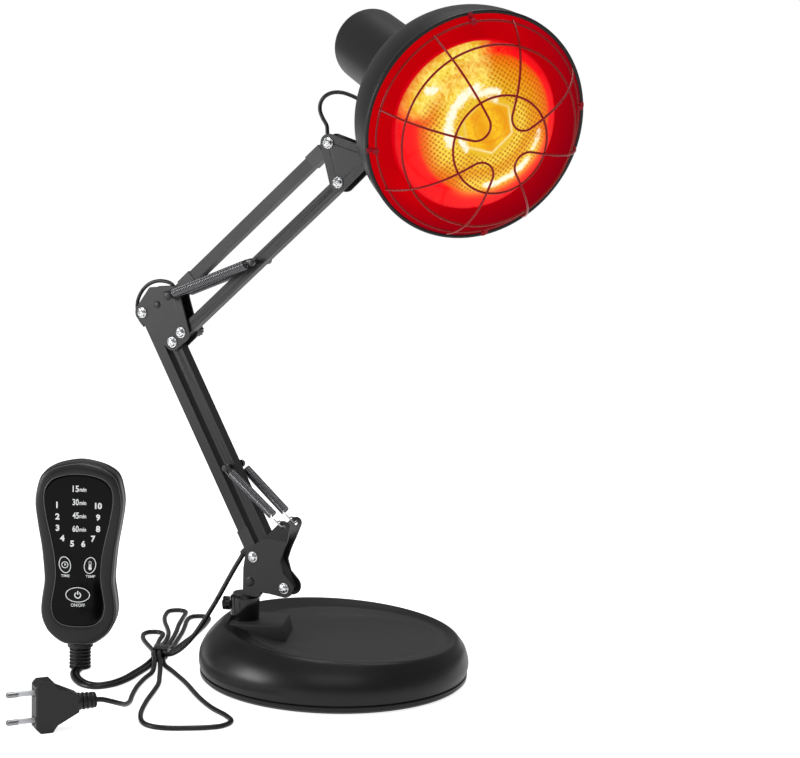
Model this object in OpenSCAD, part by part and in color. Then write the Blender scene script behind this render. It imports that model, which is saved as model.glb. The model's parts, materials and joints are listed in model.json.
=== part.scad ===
// Infrared heat therapy lamp: a spring-balanced double-link arm on a round tray base, with a
// corded remote handset. X points from the post to the front of the tray, Z up, origin under the
// centre of the base. Sizes are in millimetres, angles in degrees.

/* [Base] */
// Widest diameter of the base
base_d = 200; // [180:1:240]
// Height of the rim crest at the middle of the base
base_h = 35.8; // [32:0.2:42]
// Height of the seam where the cover meets the shell
seam_z = 5.8; // [4.6:0.2:7]
// Diameter of the rim crest
rim_d = 171; // [150:1:180]
// Slope of the rim, which rises towards the post
rim_slope = 3.2; // [0:0.1:4]
// Diameter of the flat floor of the tray
tray_d = 114; // [90:1:120]
// Height of the floor of the tray
tray_z = 28.3; // [25:0.1:30]
// Wall thickness of the base shell
base_wall = 2.5; // [1.6:0.1:3]
// Diameter of the ballast disc
weight_d = 124; // [90:1:130]
// Thickness of the ballast disc
weight_t = 12; // [6:0.5:14]
// Thickness of the bottom cover
cover_t = 2; // [1.4:0.1:2.4]
// Diameter of the foam pad under the base
pad_d = 150; // [100:1:156]
// Width of the block under the post
block_w = 39; // [34:1:48]
// Height of the top of the block under the post
block_z = 40; // [39:0.5:45]

/* [Post] */
// Distance of the post behind the centre of the base
post_back = 67.5; // [60:0.5:70]
// Diameter of the socket collar
collar_d = 21.6; // [19:0.2:26]
// Height of the socket collar
collar_h = 18; // [14:0.5:24]
// Diameter of the spigot that turns in the collar
spigot_d = 12; // [9:0.5:13]
// Diameter of the clamp knob
clamp_d = 10; // [8:0.5:14]
// Turn of the arm about the post in the rest pose
rest_swivel = -22.2; // [-60:0.1:60]

/* [Arm] */
// Distance between the pivots of a lower bar
lower_len = 200; // [160:1:260]
// Lean of the lower bars from the horizontal
lower_lean = 120; // [90:0.5:122]
// Distance between the pivots of an upper bar
upper_len = 174; // [140:1:240]
// Rise of the upper bars from the horizontal
upper_rise = 42; // [20:0.5:60]
// Width of the square bars
bar_w = 8.6; // [8:0.2:10]
// Wall thickness of the bars
bar_wall = 1; // [0.8:0.1:1.6]
// Thickness of the bracket plates
plate_t = 1.5; // [1.2:0.1:2]
// Diameter of the pivot screws
pivot_d = 4; // [3:0.2:4.4]
// Diameter of the pivot screw heads
head_d = 6.6; // [6:0.2:7.4]
// Diameter of the spring pins
pin_d = 3; // [2.6:0.1:3.4]
// Diameter of the elbow knob
elbow_knob_d = 10; // [9:0.5:14]
// Diameter of the supply lead in the arm
lead_d = 2.8; // [2.4:0.2:3.6]

/* [Springs] */
// Outer diameter of a spring
spring_d = 7.2; // [6:0.1:7.4]
// Diameter of the spring wire
wire_d = 1.2; // [0.8:0.1:1.3]
// Turns of a spring
spring_turns = 20; // [12:1:22]

/* [Head] */
// Diameter of the mouth of the shade
shade_d = 160; // [140:1:180]
// Depth of the shade
shade_depth = 67; // [60:0.5:80]
// Wall thickness of the shade and the cup
shade_wall = 1.2; // [0.8:0.1:1.6]
// Diameter of the cup behind the shade
cup_d = 56; // [50:0.5:60]
// Length of the cup
cup_len = 141; // [120:1:160]
// Turn of the head away from the plane of the arm
head_yaw = -39.6; // [-60:0.1:0]
// Droop of the head below the horizontal
head_droop = 16.2; // [0:0.1:30]

/* [Bulb] */
// Diameter of the bulb's face
bulb_d = 118; // [100:1:124]
// Height of the domed front of the bulb
bulb_dome = 11; // [8:0.5:14]
// Diameter of the bulb's neck
neck_d = 34; // [30:0.5:36]
// Diameter of the screw cap
cap_d = 26.4; // [25:0.1:27]

/* [Guard] */
// Diameter of the guard wire
guard_wire = 1.8; // [1.4:0.1:2.4]
// Diameter of the guard's base ring
guard_d = 151; // [140:1:154]
// Diameter of the middle ring
guard_mid_d = 128; // [110:1:134]
// Diameter of the inner ring
guard_in_d = 68; // [56:1:80]
// Height of the guard in front of the shade
guard_h = 44; // [40:1:50]
// Number of hairpin wires
hairpins = 4; // [3:1:5]

/* [Handset] */
// Height of the handset's body
handset_h = 137; // [120:1:150]
// Widest width of the handset
handset_w = 64.4; // [56:0.2:70]
// Depth of the front shell
front_depth = 12; // [11:0.2:14]
// Depth of the back shell
back_depth = 10; // [8:0.2:12]
// Wall thickness of the handset
handset_wall = 2; // [1.6:0.1:2.4]
// Travel of a button
button_travel = 0.8; // [0.4:0.1:1]

/* [Plug] */
// Height of the plug's head, which stands on its edge
plug_h = 35.3; // [34:0.1:36]
// Thickness of the plug's head
plug_t = 13.7; // [12:0.1:14]
// Distance between the plug's pins
pin_pitch = 19; // [18:0.1:19.4]
// Diameter of a plug pin
plug_pin_d = 4; // [3.8:0.1:4.2]
// Length of a plug pin
plug_pin_len = 19; // [18:0.5:20]

/* [Cords] */
// Diameter of the free cords
cord_d = 3.6; // [3:0.1:3.7]
// Width of the tie round the cords
tie_w = 8; // [5:0.5:10]

/* [Hidden] */
$fn = 64;

// Clearances: a turning pin in its hole, two pieces that lie face to face, and a loose gap
fit = 0.05;
seat = 0.05;
gap = 0.3;

// ---- Places in the plane of the arm, as [reach, height] from the foot of the post ----
post_x = -post_back;
collar_top = block_z + collar_h;
// Main pivot of the lower bars, and from it the second pivot of the same bracket
lower_root = [10, collar_top + 31];
lower_pair = [27, -20];
// From the rear bar's top pivot to the pivots of the two upper bars
low_bar_at = [34.5, -12.3];
top_bar_at = [26, 15];
// From the top bar's far pivot to the pivot of the tilting knuckle
tilt_at = [31, -8];
function along(a, d) = [d * cos(a), d * sin(a)];
front_root = lower_root + lower_pair;
elbow = lower_root + along(lower_lean, lower_len);
elbow_pair = elbow + lower_pair;
low_root = elbow + low_bar_at;
top_root = elbow + top_bar_at;
top_end = top_root + along(upper_rise, upper_len);
low_end = low_root + along(upper_rise, upper_len);
tilt_axis = top_end + tilt_at;

// ---- Widths across the arm, counted from its middle plane ----
plate_in = bar_w / 2 + 0.6;
plate_out = plate_in + plate_t;
sleeve_t = 0.8;
sleeve_out = plate_in - 0.15;

// ---- General shapes ----
function unit(v) = v / norm(v);
// A ring of points round p, in the plane of n and b
function ring(p, n, b, r, sides) = [for (k = [0:sides - 1])
    p + r * (cos(360 * k / sides) * n + sin(360 * k / sides) * b)];
function tangent(p, i) = unit(p[min(i + 1, len(p) - 1)] - p[max(i - 1, 0)]);
function square_to(v, t) = unit(v - (v * t) * t);
// Normals carried along a path without twist
function normals(p, start) = [for (i = 0, n = square_to(start, tangent(p, 0)); i < len(p);
    i = i + 1, n = i < len(p) ? square_to(n, tangent(p, i)) : n) n];

// A tube along a path of points
module tube(p, r, sides, start = [0.31, 0.17, 0.93]) {
    ns = normals(p, start);
    rings = [for (i = [0:len(p) - 1]) ring(p[i], ns[i], cross(tangent(p, i), ns[i]), r, sides)];
    pts = [for (g = rings) each g];
    last = (len(p) - 1) * sides;
    faces = [
        [for (k = [0:sides - 1]) k],
        [for (k = [0:sides - 1]) last + sides - 1 - k],
        for (i = [0:len(p) - 2], k = [0:sides - 1], h = [0, 1])
            let (a = i * sides + k, b = i * sides + (k + 1) % sides)
            h == 0 ? [a, a + sides, b] : [b, a + sides, b + sides]
    ];
    polyhedron(points = pts, faces = faces, convexity = 10);
}

// A closed skin through rows of points; the first and last rows are capped
module skin(rows) {
    n = len(rows[0]);
    top = (len(rows) - 1) * n;
    polyhedron(points = [for (r = rows) each r], faces = [
        [for (k = [0:n - 1]) k],
        [for (k = [0:n - 1]) top + n - 1 - k],
        for (i = [0:len(rows) - 2], k = [0:n - 1], h = [0, 1])
            let (a = i * n + k, b = i * n + (k + 1) % n)
            h == 0 ? [a, a + n, b] : [b, a + n, b + n]
    ], convexity = 6);
}

// A ring-shaped skin: the last row joins the first
module ring_skin(rows) {
    n = len(rows[0]);
    m = len(rows);
    polyhedron(points = [for (r = rows) each r], faces = [
        for (i = [0:m - 1], k = [0:n - 1], h = [0, 1])
            let (a = i * n + k, b = i * n + (k + 1) % n, c = ((i + 1) % m) * n)
            h == 0 ? [a, c + k, b] : [b, c + k, c + (k + 1) % n]
    ], convexity = 6);
}

// Tangent point direction from circle a to circle b, circles as [x, y, r] anticlockwise
function tang(a, b) = let (d = [b[0] - a[0], b[1] - a[1]],
    phi = atan2(d[1], d[0]) - acos((a[2] - b[2]) / norm(d))) [cos(phi), sin(phi)];
// A flat outline pulled round circles; a radius of 0 is a sharp corner
module blank(cs) {
    n = len(cs);
    polygon([for (i = [0:n - 1]) let (a = cs[i], b = cs[(i + 1) % n], u = tang(a, b))
        each [[a[0] + a[2] * u[0], a[1] + a[2] * u[1]], [b[0] + b[2] * u[0], b[1] + b[2] * u[1]]]]);
    for (c = cs) if (c[2] > 0) translate([c[0], c[1]]) circle(c[2]);
}
module slab(z0, z1) { translate([0, 0, z0]) linear_extrude(z1 - z0) children(); }
// Towards the viewer's side of the arm (near) or the other (far)
module on_side(near) { mirror([0, 0, near ? 0 : 1]) children(); }

// ---- Frames ----
// The plane of the arm: x is reach, y is height, z points to the near side
module in_arm() {
    translate([post_x, 0, 0]) rotate([0, 0, rest_swivel]) rotate([90, 0, 0]) children();
}
// The bar's own frame: x runs from its first pivot to its second
module in_bar(p, a) { in_arm() translate([p[0], p[1], 0]) rotate([0, 0, a]) children(); }
// The mouth of the shade from the tilting pivot: forward, away from the viewer, and up
mouth_forward = 74.8;
mouth_aside = 44.5;
mouth_up = 23.5;
module in_yaw() {
    translate([post_x, 0, 0]) rotate([0, 0, rest_swivel])
        translate([tilt_axis[0], 0, tilt_axis[1]]) rotate([0, 0, head_yaw]) children();
}
// The head's own frame: the axis is z and points forward, and x points down
module in_head() {
    in_yaw() translate([mouth_forward, mouth_aside, mouth_up])
        rotate([0, 90 + head_droop, 0]) children();
}

// ---- Base ----
base_sides = 48;
tray_x = 18.7;
rim_x = 4.3;
// Rows of the outer skin from the seam to the tray, as [centre x, height, radius, slope]
outer_rows = [
    [0, seam_z, base_d / 2 - 2.6, 0], [0, seam_z + 2.2, base_d / 2 - 0.8, 0],
    [0, base_h * 0.36, base_d / 2, 0], [0, base_h * 0.54, base_d / 2 - 0.9, rim_slope * 0.2],
    [rim_x * 0.3, base_h * 0.725, base_d / 2 - 4, rim_slope * 0.5],
    [rim_x * 0.7, base_h * 0.88, rim_d / 2 + 6, rim_slope * 0.85],
    [rim_x * 0.95, base_h * 0.977, rim_d / 2 + 2.4, rim_slope],
    [rim_x, base_h, rim_d / 2, rim_slope], [rim_x + 0.4, base_h - 0.8, rim_d / 2 - 2.8, rim_slope],
    [tray_x - 1.6, tray_z + 1.1, tray_d / 2 + 3.4, rim_slope * 0.2], [tray_x, tray_z, tray_d / 2, 0]
];
inner_rows = [
    [tray_x, tray_z - base_wall, tray_d / 2 - 0.8, 0],
    [tray_x - 1.6, tray_z + 1.1 - base_wall, tray_d / 2 + 3.6, rim_slope * 0.2],
    [rim_x + 0.4, base_h - 0.8 - base_wall, rim_d / 2 - 2.4, rim_slope],
    [rim_x * 0.7, base_h * 0.88 - base_wall * 0.6, rim_d / 2 + 3.6, rim_slope * 0.85],
    [rim_x * 0.3, base_h * 0.725, base_d / 2 - 4 - base_wall, rim_slope * 0.5],
    [0, base_h * 0.54, base_d / 2 - 0.9 - base_wall, rim_slope * 0.2],
    [0, seam_z, base_d / 2 - 0.8 - base_wall, 0]
];
function base_ring(q) = [for (k = [0:base_sides - 1]) let (a = 360 * k / base_sides)
    [q[0] + q[2] * cos(a), q[2] * sin(a), q[1] - q[2] * cos(a) * tan(q[3])]];
cover_foot = 0.75;
cover_screw_r = base_d / 2 - 16;
cover_screw_d = 3;
cover_screw_places = [for (a = [45:90:315]) [cover_screw_r * cos(a), cover_screw_r * sin(a)]];
block_front = -33.5;
block_slant = 3.5;
block_back = rim_x - rim_d / 2 + 5;
block_foot = tray_z - 1.2;
collar_screw_places = [for (a = [90, 270]) [post_x + 8.1 * cos(a), 8.1 * sin(a)]];

module base_shell() {
    color("#1b1b1d") difference() {
        union() {
            skin([for (q = concat(inner_rows, outer_rows)) base_ring(q)]);
            // Pillars for the screws of the cover
            for (p = cover_screw_places) translate([p[0], p[1], seam_z])
                cylinder(d = 9, h = base_h - 2.9 - 0.056 * p[0] - seam_z, $fn = 32);
            // Block under the post, with a slanted front
            rotate([90, 0, 0]) linear_extrude(block_w, center = true) polygon([
                [block_back, block_foot], [block_front, block_foot],
                [block_front - block_slant, block_z], [block_back, block_z]]);
        }
        for (p = cover_screw_places) translate([p[0], p[1], 0])
            cylinder(d = cover_screw_d + 2 * fit, h = 15, $fn = 24);
        for (p = collar_screw_places) translate([p[0], p[1], 0])
            cylinder(d = 3 + 2 * fit, h = block_z + 1, $fn = 24);
    }
}

module base_weight() {
    color("#6a6c70") translate([0, 0, cover_foot + cover_t + seat]) difference() {
        cylinder(d = weight_d, h = weight_t);
        translate([0, 0, -1]) cylinder(d = 12, h = weight_t + 2);
    }
}

// Bottom cover: a shallow dish whose rim shows as a band under the shell
module base_cover() {
    r = base_d / 2;
    top = seam_z - seat;
    color("#202022") difference() {
        union() {
            rotate_extrude($fn = 96) polygon([[0, cover_foot], [r - 3, cover_foot], [r - 1, cover_foot + 1.8],
                [r - 0.8, top - 0.6], [r - 1.4, top], [r - 4.4, top], [r - 4.4, cover_foot + cover_t],
                [0, cover_foot + cover_t]]);
            for (p = cover_screw_places) translate([p[0], p[1], cover_foot])
                cylinder(d = 9, h = top - cover_foot, $fn = 32);
        }
        for (p = cover_screw_places) translate([p[0], p[1], 0]) {
            cylinder(d = cover_screw_d + 2 * fit, h = seam_z + 1, $fn = 24);
            cylinder(d = 6.4, h = cover_foot + 1.15, $fn = 32);
        }
    }
}

module base_pad() {
    color("#101012") cylinder(d = pad_d, h = cover_foot - seat, $fn = 96);
}

// A screw whose head's seat lies at height 0, with its shank upwards
module screw_up(d, length, head, head_t) {
    cylinder(d = d, h = length, $fn = 24);
    translate([0, 0, -head_t]) cylinder(d = head, h = head_t, $fn = 32);
}

module base_screws() {
    color("#8b8d90") for (p = cover_screw_places)
        translate([p[0], p[1], cover_foot + 1.15 - seat]) screw_up(cover_screw_d, 13, 6, 0.9);
}

module socket_collar() {
    color("#131315") difference() {
        translate([post_x, 0, block_z + seat]) rotate_extrude() polygon([
            [0, 0], [collar_d / 2, 0], [collar_d / 2, collar_h - 1.2],
            [collar_d / 2 - 1.2, collar_h - seat], [spigot_d / 2 + fit, collar_h - seat],
            [spigot_d / 2 + fit, 3], [0, 3]]);
        translate([post_x, 0, block_z + collar_h * 0.6]) rotate([0, -90, 0])
            cylinder(d = 4 + 2 * fit, h = collar_d, $fn = 32);
        for (p = collar_screw_places) translate([p[0], p[1], block_z - 1])
            cylinder(d = 3 + 2 * fit, h = 9, $fn = 24);
    }
}

module collar_screws() {
    color("#8b8d90") for (p = collar_screw_places)
        translate([p[0], p[1], block_foot - seat]) screw_up(3, block_z + 7.5 - block_foot, 5.4, 2);
}

module clamp_knob() {
    color("#131315") translate([post_x, 0, block_z + collar_h * 0.6]) rotate([0, -90, 0]) {
        translate([0, 0, spigot_d / 2 + gap]) cylinder(d = 4, h = collar_d / 2, $fn = 32);
        translate([0, 0, collar_d / 2 + gap]) difference() {
            cylinder(d = clamp_d, h = 5.2);
            for (a = [0:45:315]) rotate([0, 0, a])
                translate([clamp_d / 2 + 0.5, 0, 0.8]) cylinder(d = 2, h = 5, $fn = 16);
        }
    }
}

// ---- Swivel bracket ----
flange_d = 18;
flange_t = 1.5;
flange_z = collar_top + seat;
tongue = [3, 12];
tongue_h = 22;
// Rivet that holds the plates to the tongue, from the main pivot
neck_rivet = [(tongue[0] + tongue[1]) / 2 - lower_root[0], flange_z + 12 - lower_root[1]];
// Foot of the plates, and the height where their spring tabs start to flare outwards
plate_foot = flange_z + flange_t + seat - lower_root[1];
tab_z = 15;
tab_flare = 14;
tab_hook = [27.2, 26.7];
hook_hole_d = 3.2;
bracket_circles = [
    [0, 0, 6.8], [-8.3, -9.4, 0], [-8.3, plate_foot, 0], [6.5, plate_foot, 0],
    [6.5, plate_foot + 4, 0], [lower_pair[0], lower_pair[1], 7], [25.5, -9, 0],
    [22.8, -0.6, 0], [25.2, 6.9, 0], [28.6, tab_z, 0], [8.3, tab_z, 0]
];

// Moves from the plane of the arm to a pivot in it
module in_arm_at(p) { in_arm() translate([p[0], p[1], 0]) children(); }
// Holes for pivots through a plate
module pivot_holes(places, d = pivot_d) {
    for (p = places) translate([p[0], p[1], 0])
        cylinder(d = d + 2 * fit, h = 3 * plate_out, center = true, $fn = 32);
}

module swivel_post() {
    color("#1c1c1e") difference() {
        union() {
            translate([post_x, 0, block_z + 3 + 2 * seat])
                cylinder(d = spigot_d, h = flange_z - block_z - 3);
            translate([post_x, 0, flange_z]) cylinder(d = flange_d, h = flange_t);
            in_arm() translate([tongue[0], flange_z + 0.5, -plate_in + seat])
                cube([tongue[1] - tongue[0], tongue_h, 2 * (plate_in - seat)]);
        }
        in_arm_at(lower_root) pivot_holes([neck_rivet]);
    }
}

module bracket_plate() {
    difference() {
        union() {
            slab(plate_in, plate_out) blank(bracket_circles);
            translate([0, tab_z, plate_in]) rotate([tab_flare, 0, 0])
                translate([0, -tab_z, -plate_in]) difference() {
                    slab(plate_in, plate_out) blank([[8.3, tab_z - 0.3, 0],
                        [28.6, tab_z - 0.3, 0], [tab_hook[0], tab_hook[1], 4.6]]);
                    translate([tab_hook[0], tab_hook[1], 0])
                        cylinder(d = hook_hole_d, h = 30, $fn = 32);
                }
        }
        pivot_holes([[0, 0], lower_pair, neck_rivet]);
    }
}
module bracket_near() { color("#222224") in_arm_at(lower_root) bracket_plate(); }
module bracket_far() { color("#222224") in_arm_at(lower_root) on_side(false) bracket_plate(); }

// A pivot screw across the arm: pan head on a washer on the near side, nut on the far side
head_t = 2.2;
washer_d = head_d + 1.2;
washer_t = 0.6;
nut_w = 7;
nut_t = 3;
module pivot_screw(p, tail = 0) {
    translate([p[0], p[1], 0]) {
        translate([0, 0, -plate_out - nut_t - 0.6 - tail])
            cylinder(d = pivot_d, h = 2 * plate_out + nut_t + 1 + washer_t + tail, $fn = 32);
        translate([0, 0, plate_out + seat]) cylinder(d = washer_d, h = washer_t, $fn = 32);
        translate([0, 0, plate_out + seat + washer_t]) difference() {
            rotate_extrude($fn = 32) polygon([[0, 0], [head_d / 2, 0], [head_d / 2, head_t * 0.35],
                [head_d * 0.4, head_t * 0.8], [head_d * 0.22, head_t], [0, head_t]]);
            for (a = [20, 110]) rotate([0, 0, a]) translate([-head_d * 0.26, -0.4, head_t - 0.9])
                cube([head_d * 0.52, 0.8, 2]);
        }
        if (tail == 0) translate([0, 0, -plate_out - seat - nut_t])
            rotate([0, 0, 15]) cylinder(d = nut_w / cos(30), h = nut_t, $fn = 6);
    }
}
// A pin across the arm with a round head at each end
module headed_pin(p, d, reach, crown, crown_t) {
    translate([p[0], p[1], -reach]) {
        cylinder(d = d, h = 2 * reach, $fn = 32);
        for (z = [0, 2 * reach]) translate([0, 0, z]) rotate([z > 0 ? 0 : 180, 0, 0])
            rotate_extrude($fn = 32) polygon([[0, 0], [crown / 2, 0], [crown / 2, crown_t * 0.4],
                [crown * 0.33, crown_t * 0.85], [0, crown_t]]);
    }
}

module bracket_screws() {
    color("#c9cbd0") in_arm_at(lower_root) {
        pivot_screw([0, 0]);
        pivot_screw(lower_pair);
        headed_pin(neck_rivet, pivot_d, plate_out + seat, pivot_d + 3, 1.2);
    }
}

// ---- Arm bars ----
// A square tube from its first pivot at x = 0 to its second at x = len, with rounded ends
module square_bar(len, holes) {
    difference() {
        linear_extrude(bar_w, center = true) {
            translate([0, -bar_w / 2]) square([len, bar_w]);
            for (x = [0, len]) translate([x, 0]) circle(bar_w / 2);
        }
        translate([-bar_w, -bar_w / 2 + bar_wall, -bar_w / 2 + bar_wall])
            cube([len + 2 * bar_w, bar_w - 2 * bar_wall, bar_w - 2 * bar_wall]);
        for (x = [0, len]) translate([x, 0, 0])
            cylinder(d = pivot_d + 2 * fit, h = 2 * bar_w, center = true, $fn = 32);
        for (x = holes) translate([x, 0, 0])
            cylinder(d = pin_d + 2 * fit, h = 2 * bar_w, center = true, $fn = 32);
    }
}
// The room that a bar takes, and a thin plastic sleeve round it from x0 to x1
module bar_room() {
    translate([-2 * bar_w, -bar_w / 2 - seat, -bar_w / 2 - seat])
        cube([2 * lower_len, bar_w + 2 * seat, bar_w + 2 * seat]);
}
module bar_sleeve(x0, x1) {
    difference() {
        translate([x0, -bar_w / 2 - sleeve_t, -sleeve_out])
            cube([x1 - x0, bar_w + 2 * sleeve_t, 2 * sleeve_out]);
        bar_room();
    }
}

lower_pin_at = 98;
upper_pin_at = 84.4;
lower_spring_across = 10.4;
upper_spring_across = 11;
// Half the length of a spring pin, past the wire of the eye that it carries
function pin_reach(across) = across + wire_d / 2 + gap;
module rear_bar() { color("#262628") in_bar(lower_root, lower_lean) square_bar(lower_len, []); }
module front_bar() {
    color("#262628") in_bar(front_root, lower_lean) square_bar(lower_len, [lower_pin_at]);
}
module lower_spring_pin() {
    color("#161618") in_bar(front_root, lower_lean)
        headed_pin([lower_pin_at, 0], pin_d, pin_reach(lower_spring_across), pin_d + 2.6, 1.6);
}
// Sleeve near the foot of the rear bar, with the gland where the supply cord enters
gland_at = [5.75, 10.8];
gland_lean = 46;
gland_len = 8;
module rear_bar_gland() {
    color("#121214") in_bar(lower_root, lower_lean) difference() {
        union() {
            translate([3.2, -bar_w / 2 - sleeve_t, -sleeve_out])
                cube([18.8, bar_w + 2 * sleeve_t, 2 * sleeve_out]);
            translate([gland_at[0], gland_at[1], 0]) rotate([0, 0, gland_lean - lower_lean])
                rotate([0, 90, 0]) cylinder(d = cord_d + 2.4, h = gland_len, $fn = 32);
        }
        bar_room();
    }
}
module arm_low_bar() {
    color("#262628") in_bar(low_root, upper_rise) square_bar(upper_len, [upper_pin_at]);
}
module arm_top_bar() { color("#262628") in_bar(top_root, upper_rise) square_bar(upper_len, []); }
module upper_spring_pin() {
    color("#161618") in_bar(low_root, upper_rise)
        headed_pin([upper_pin_at, 0], pin_d, pin_reach(upper_spring_across), pin_d + 2.6, 1.6);
}
module top_bar_sleeves() {
    color("#121214") in_bar(top_root, upper_rise) {
        bar_sleeve(9, 22);
        bar_sleeve(upper_len - 22, upper_len - 8);
    }
}

// ---- Elbow ----
top_rivet_d = pin_d + 1;
elbow_circles = [
    [0, 0, 6.5], [lower_pair[0], lower_pair[1], 6.5], [low_bar_at[0], low_bar_at[1], 7],
    [top_bar_at[0], top_bar_at[1], 6.5], [7, 17.5, 2]
];
spacer_at = [13, 7];
spacer_bore = 3;
module elbow_plate() {
    difference() {
        slab(plate_in, plate_out) blank(elbow_circles);
        pivot_holes([[0, 0], lower_pair, low_bar_at]);
        pivot_holes([spacer_at], spacer_bore);
        pivot_holes([top_bar_at], top_rivet_d);
    }
}
module elbow_plate_near() { color("#222224") in_arm_at(elbow) elbow_plate(); }
module elbow_plate_far() { color("#222224") in_arm_at(elbow) on_side(false) elbow_plate(); }
knob_tail = 4;
module elbow_screws() {
    color("#c9cbd0") in_arm_at(elbow) {
        pivot_screw([0, 0]);
        pivot_screw(lower_pair);
        pivot_screw(low_bar_at, tail = knob_tail);
        headed_pin(top_bar_at, top_rivet_d, pin_reach(upper_spring_across), top_rivet_d + 3.3, 1.8);
        headed_pin(spacer_at, spacer_bore, plate_out + seat, spacer_bore + 2.4, 1);
    }
}
module elbow_spacer() {
    color("#8b8d90") in_arm_at(elbow) translate([spacer_at[0], spacer_at[1], 0]) difference() {
        cylinder(d = spacer_bore + 4, h = 2 * (plate_in - seat), center = true, $fn = 32);
        cylinder(d = spacer_bore + 2 * fit, h = 4 * plate_in, center = true, $fn = 32);
    }
}
// Knob that clamps the elbow, on the far side of the low bar's pivot
knob_neck = 3;
knob_grip = 7.5;
module elbow_knob() {
    color("#131315") in_arm_at(elbow) translate([low_bar_at[0], low_bar_at[1], -plate_out - gap])
        rotate([180, 0, 0]) difference() {
            union() {
                cylinder(d = 8, h = knob_neck + 1);
                translate([0, 0, knob_neck]) cylinder(d = elbow_knob_d, h = knob_grip);
            }
            translate([0, 0, -1])
                cylinder(d = pivot_d + 2 * fit, h = knob_tail + nut_t + 1.9, $fn = 32);
            for (a = [0:30:330]) rotate([0, 0, a])
                translate([elbow_knob_d / 2 + 0.5, 0, knob_neck + 1.2])
                    cylinder(d = 2.2, h = knob_grip, $fn = 16);
        }
}
elbow_route = [[-2.1, -10.6], [-5.6, -7.2], [-8, -3], [-9.1, 2], [-8.7, 7.6], [-6.2, 13.4],
    [-1.9, 18.6], [3.6, 22.2], [9.6, 23.9], [15.6, 24], [20.4, 23], [22.6, 21.4], [23, 20.1]];
module elbow_lead() {
    color("#161618") in_arm_at(elbow) tube([for (p = elbow_route) [p[0], p[1], 0]], lead_d / 2, 8);
}

// ---- Springs ----
// Radii of the hook through a tab and of the eye round a pin
hook_r = 3;
function eye_r(d) = d / 2 + wire_d / 2 + gap;
coil_r = (spring_d - wire_d) / 2;
curl_steps = 8;
lead_in = 5.5;
hook_lead = 9;
function around(a) = [0, cos(a), sin(a)];
// Path of a spring along x from 0 to len, with an eye at each end. The first eye lies in the
// plane of x and around(pa), the last in the plane of x and y; ea and eb are their radii.
function spring_path(len, ea, pa, eb, la) = let (sweep = spring_turns * 360 - pa,
    steps = round(sweep / 360 * curl_steps)) concat(
    [for (k = [0:7]) let (a = 380 - k * 290 / 8) ea * (cos(a) * [1, 0, 0] + sin(a) * around(pa))],
    [ea * around(pa)],
    [for (k = [0:steps]) let (u = k / steps)
        [la + u * (len - la - lead_in), 0, 0] + coil_r * around(pa + u * sweep)],
    [[len, eb, 0]],
    [for (k = [1:8]) let (a = 90 - k * 290 / 8) [len, 0, 0] + eb * [cos(a), sin(a), 0]]);
// Least clear distance between stretches of a path that are at least skip points apart
function least_gap(p, skip, d) = min([for (i = [0:len(p) - 1 - skip], j = [i + skip:len(p) - 1])
    norm(p[i] - p[j])]) - d;
// A spring between two points of the arm's frame
module spring_between(a, b, ea, pa, eb, la = lead_in) {
    x = unit(b - a);
    z = square_to([0, 0, 1], x);
    y = cross(z, x);
    path = [for (q = spring_path(norm(b - a), ea, pa, eb, la)) a + q[0] * x + q[1] * y + q[2] * z];
    echo("least gap of a spring to itself", least_gap(path, 5, wire_d));
    tube(path, wire_d / 2, 6);
}
hook_point = lower_root + [tab_hook[0], tab_z + (tab_hook[1] - tab_z) * cos(tab_flare)];
hook_across = (plate_in + plate_out) / 2 + (tab_hook[1] - tab_z) * sin(tab_flare);
lower_pin = front_root + along(lower_lean, lower_pin_at);
upper_pin = low_root + along(upper_rise, upper_pin_at);
module lower_spring(side) {
    eye = [lower_pin[0], lower_pin[1], side * lower_spring_across];
    hole = [hook_point[0], hook_point[1], side * hook_across];
    spring_between(hole + hook_r * unit(eye - hole), eye, hook_r, 90, eye_r(pin_d), hook_lead);
}
module upper_spring(side) {
    spring_between([top_root[0], top_root[1], side * upper_spring_across],
        [upper_pin[0], upper_pin[1], side * upper_spring_across],
        eye_r(top_rivet_d), 0, eye_r(pin_d));
}
module lower_spring_near() { color("#2b2b2e") in_arm() lower_spring(1); }
module lower_spring_far() { color("#2b2b2e") in_arm() lower_spring(-1); }
module upper_spring_near() { color("#2b2b2e") in_arm() upper_spring(1); }
module upper_spring_far() { color("#2b2b2e") in_arm() upper_spring(-1); }

// ---- Head bracket ----
head_pair = low_bar_at - top_bar_at;
head_circles = [[0, 0, 6.5], [head_pair[0], head_pair[1], 7], [tilt_at[0], tilt_at[1], 5.5]];
module head_plate() {
    difference() {
        slab(plate_in, plate_out) blank(head_circles);
        pivot_holes([[0, 0], head_pair, tilt_at]);
    }
}
module head_plate_near() { color("#222224") in_arm_at(top_end) head_plate(); }
module head_plate_far() { color("#222224") in_arm_at(top_end) on_side(false) head_plate(); }
module head_screws() {
    color("#c9cbd0") in_arm_at(top_end) {
        pivot_screw([0, 0]);
        pivot_screw(head_pair);
        pivot_screw(tilt_at);
    }
}
// Lead from the top bar up and over to the cup: reach and height from the top bar's far pivot,
// and distance away from the viewer
head_route = [[-4.1, 3.3, 0], [-4.6, 7.6, 0], [-5.2, 12, 0], [-8.4, 16.8, 0], [-10.8, 22, 0],
    [-10.6, 27.4, 0], [-7.4, 32.2, 0.3], [-1.8, 35, 1.5], [4.4, 35.2, 4], [10.4, 33.2, 7.2],
    [16.4, 30.4, 9.6], [23, 28.2, 10.8], [29.6, 27.6, 12], [34.4, 28.3, 14.6], [37.4, 28.9, 17.1]];
module head_lead() {
    color("#161618") in_arm_at(top_end)
        tube([for (p = head_route) [p[0], p[1], -p[2]]], lead_d / 2, 8);
}

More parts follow.
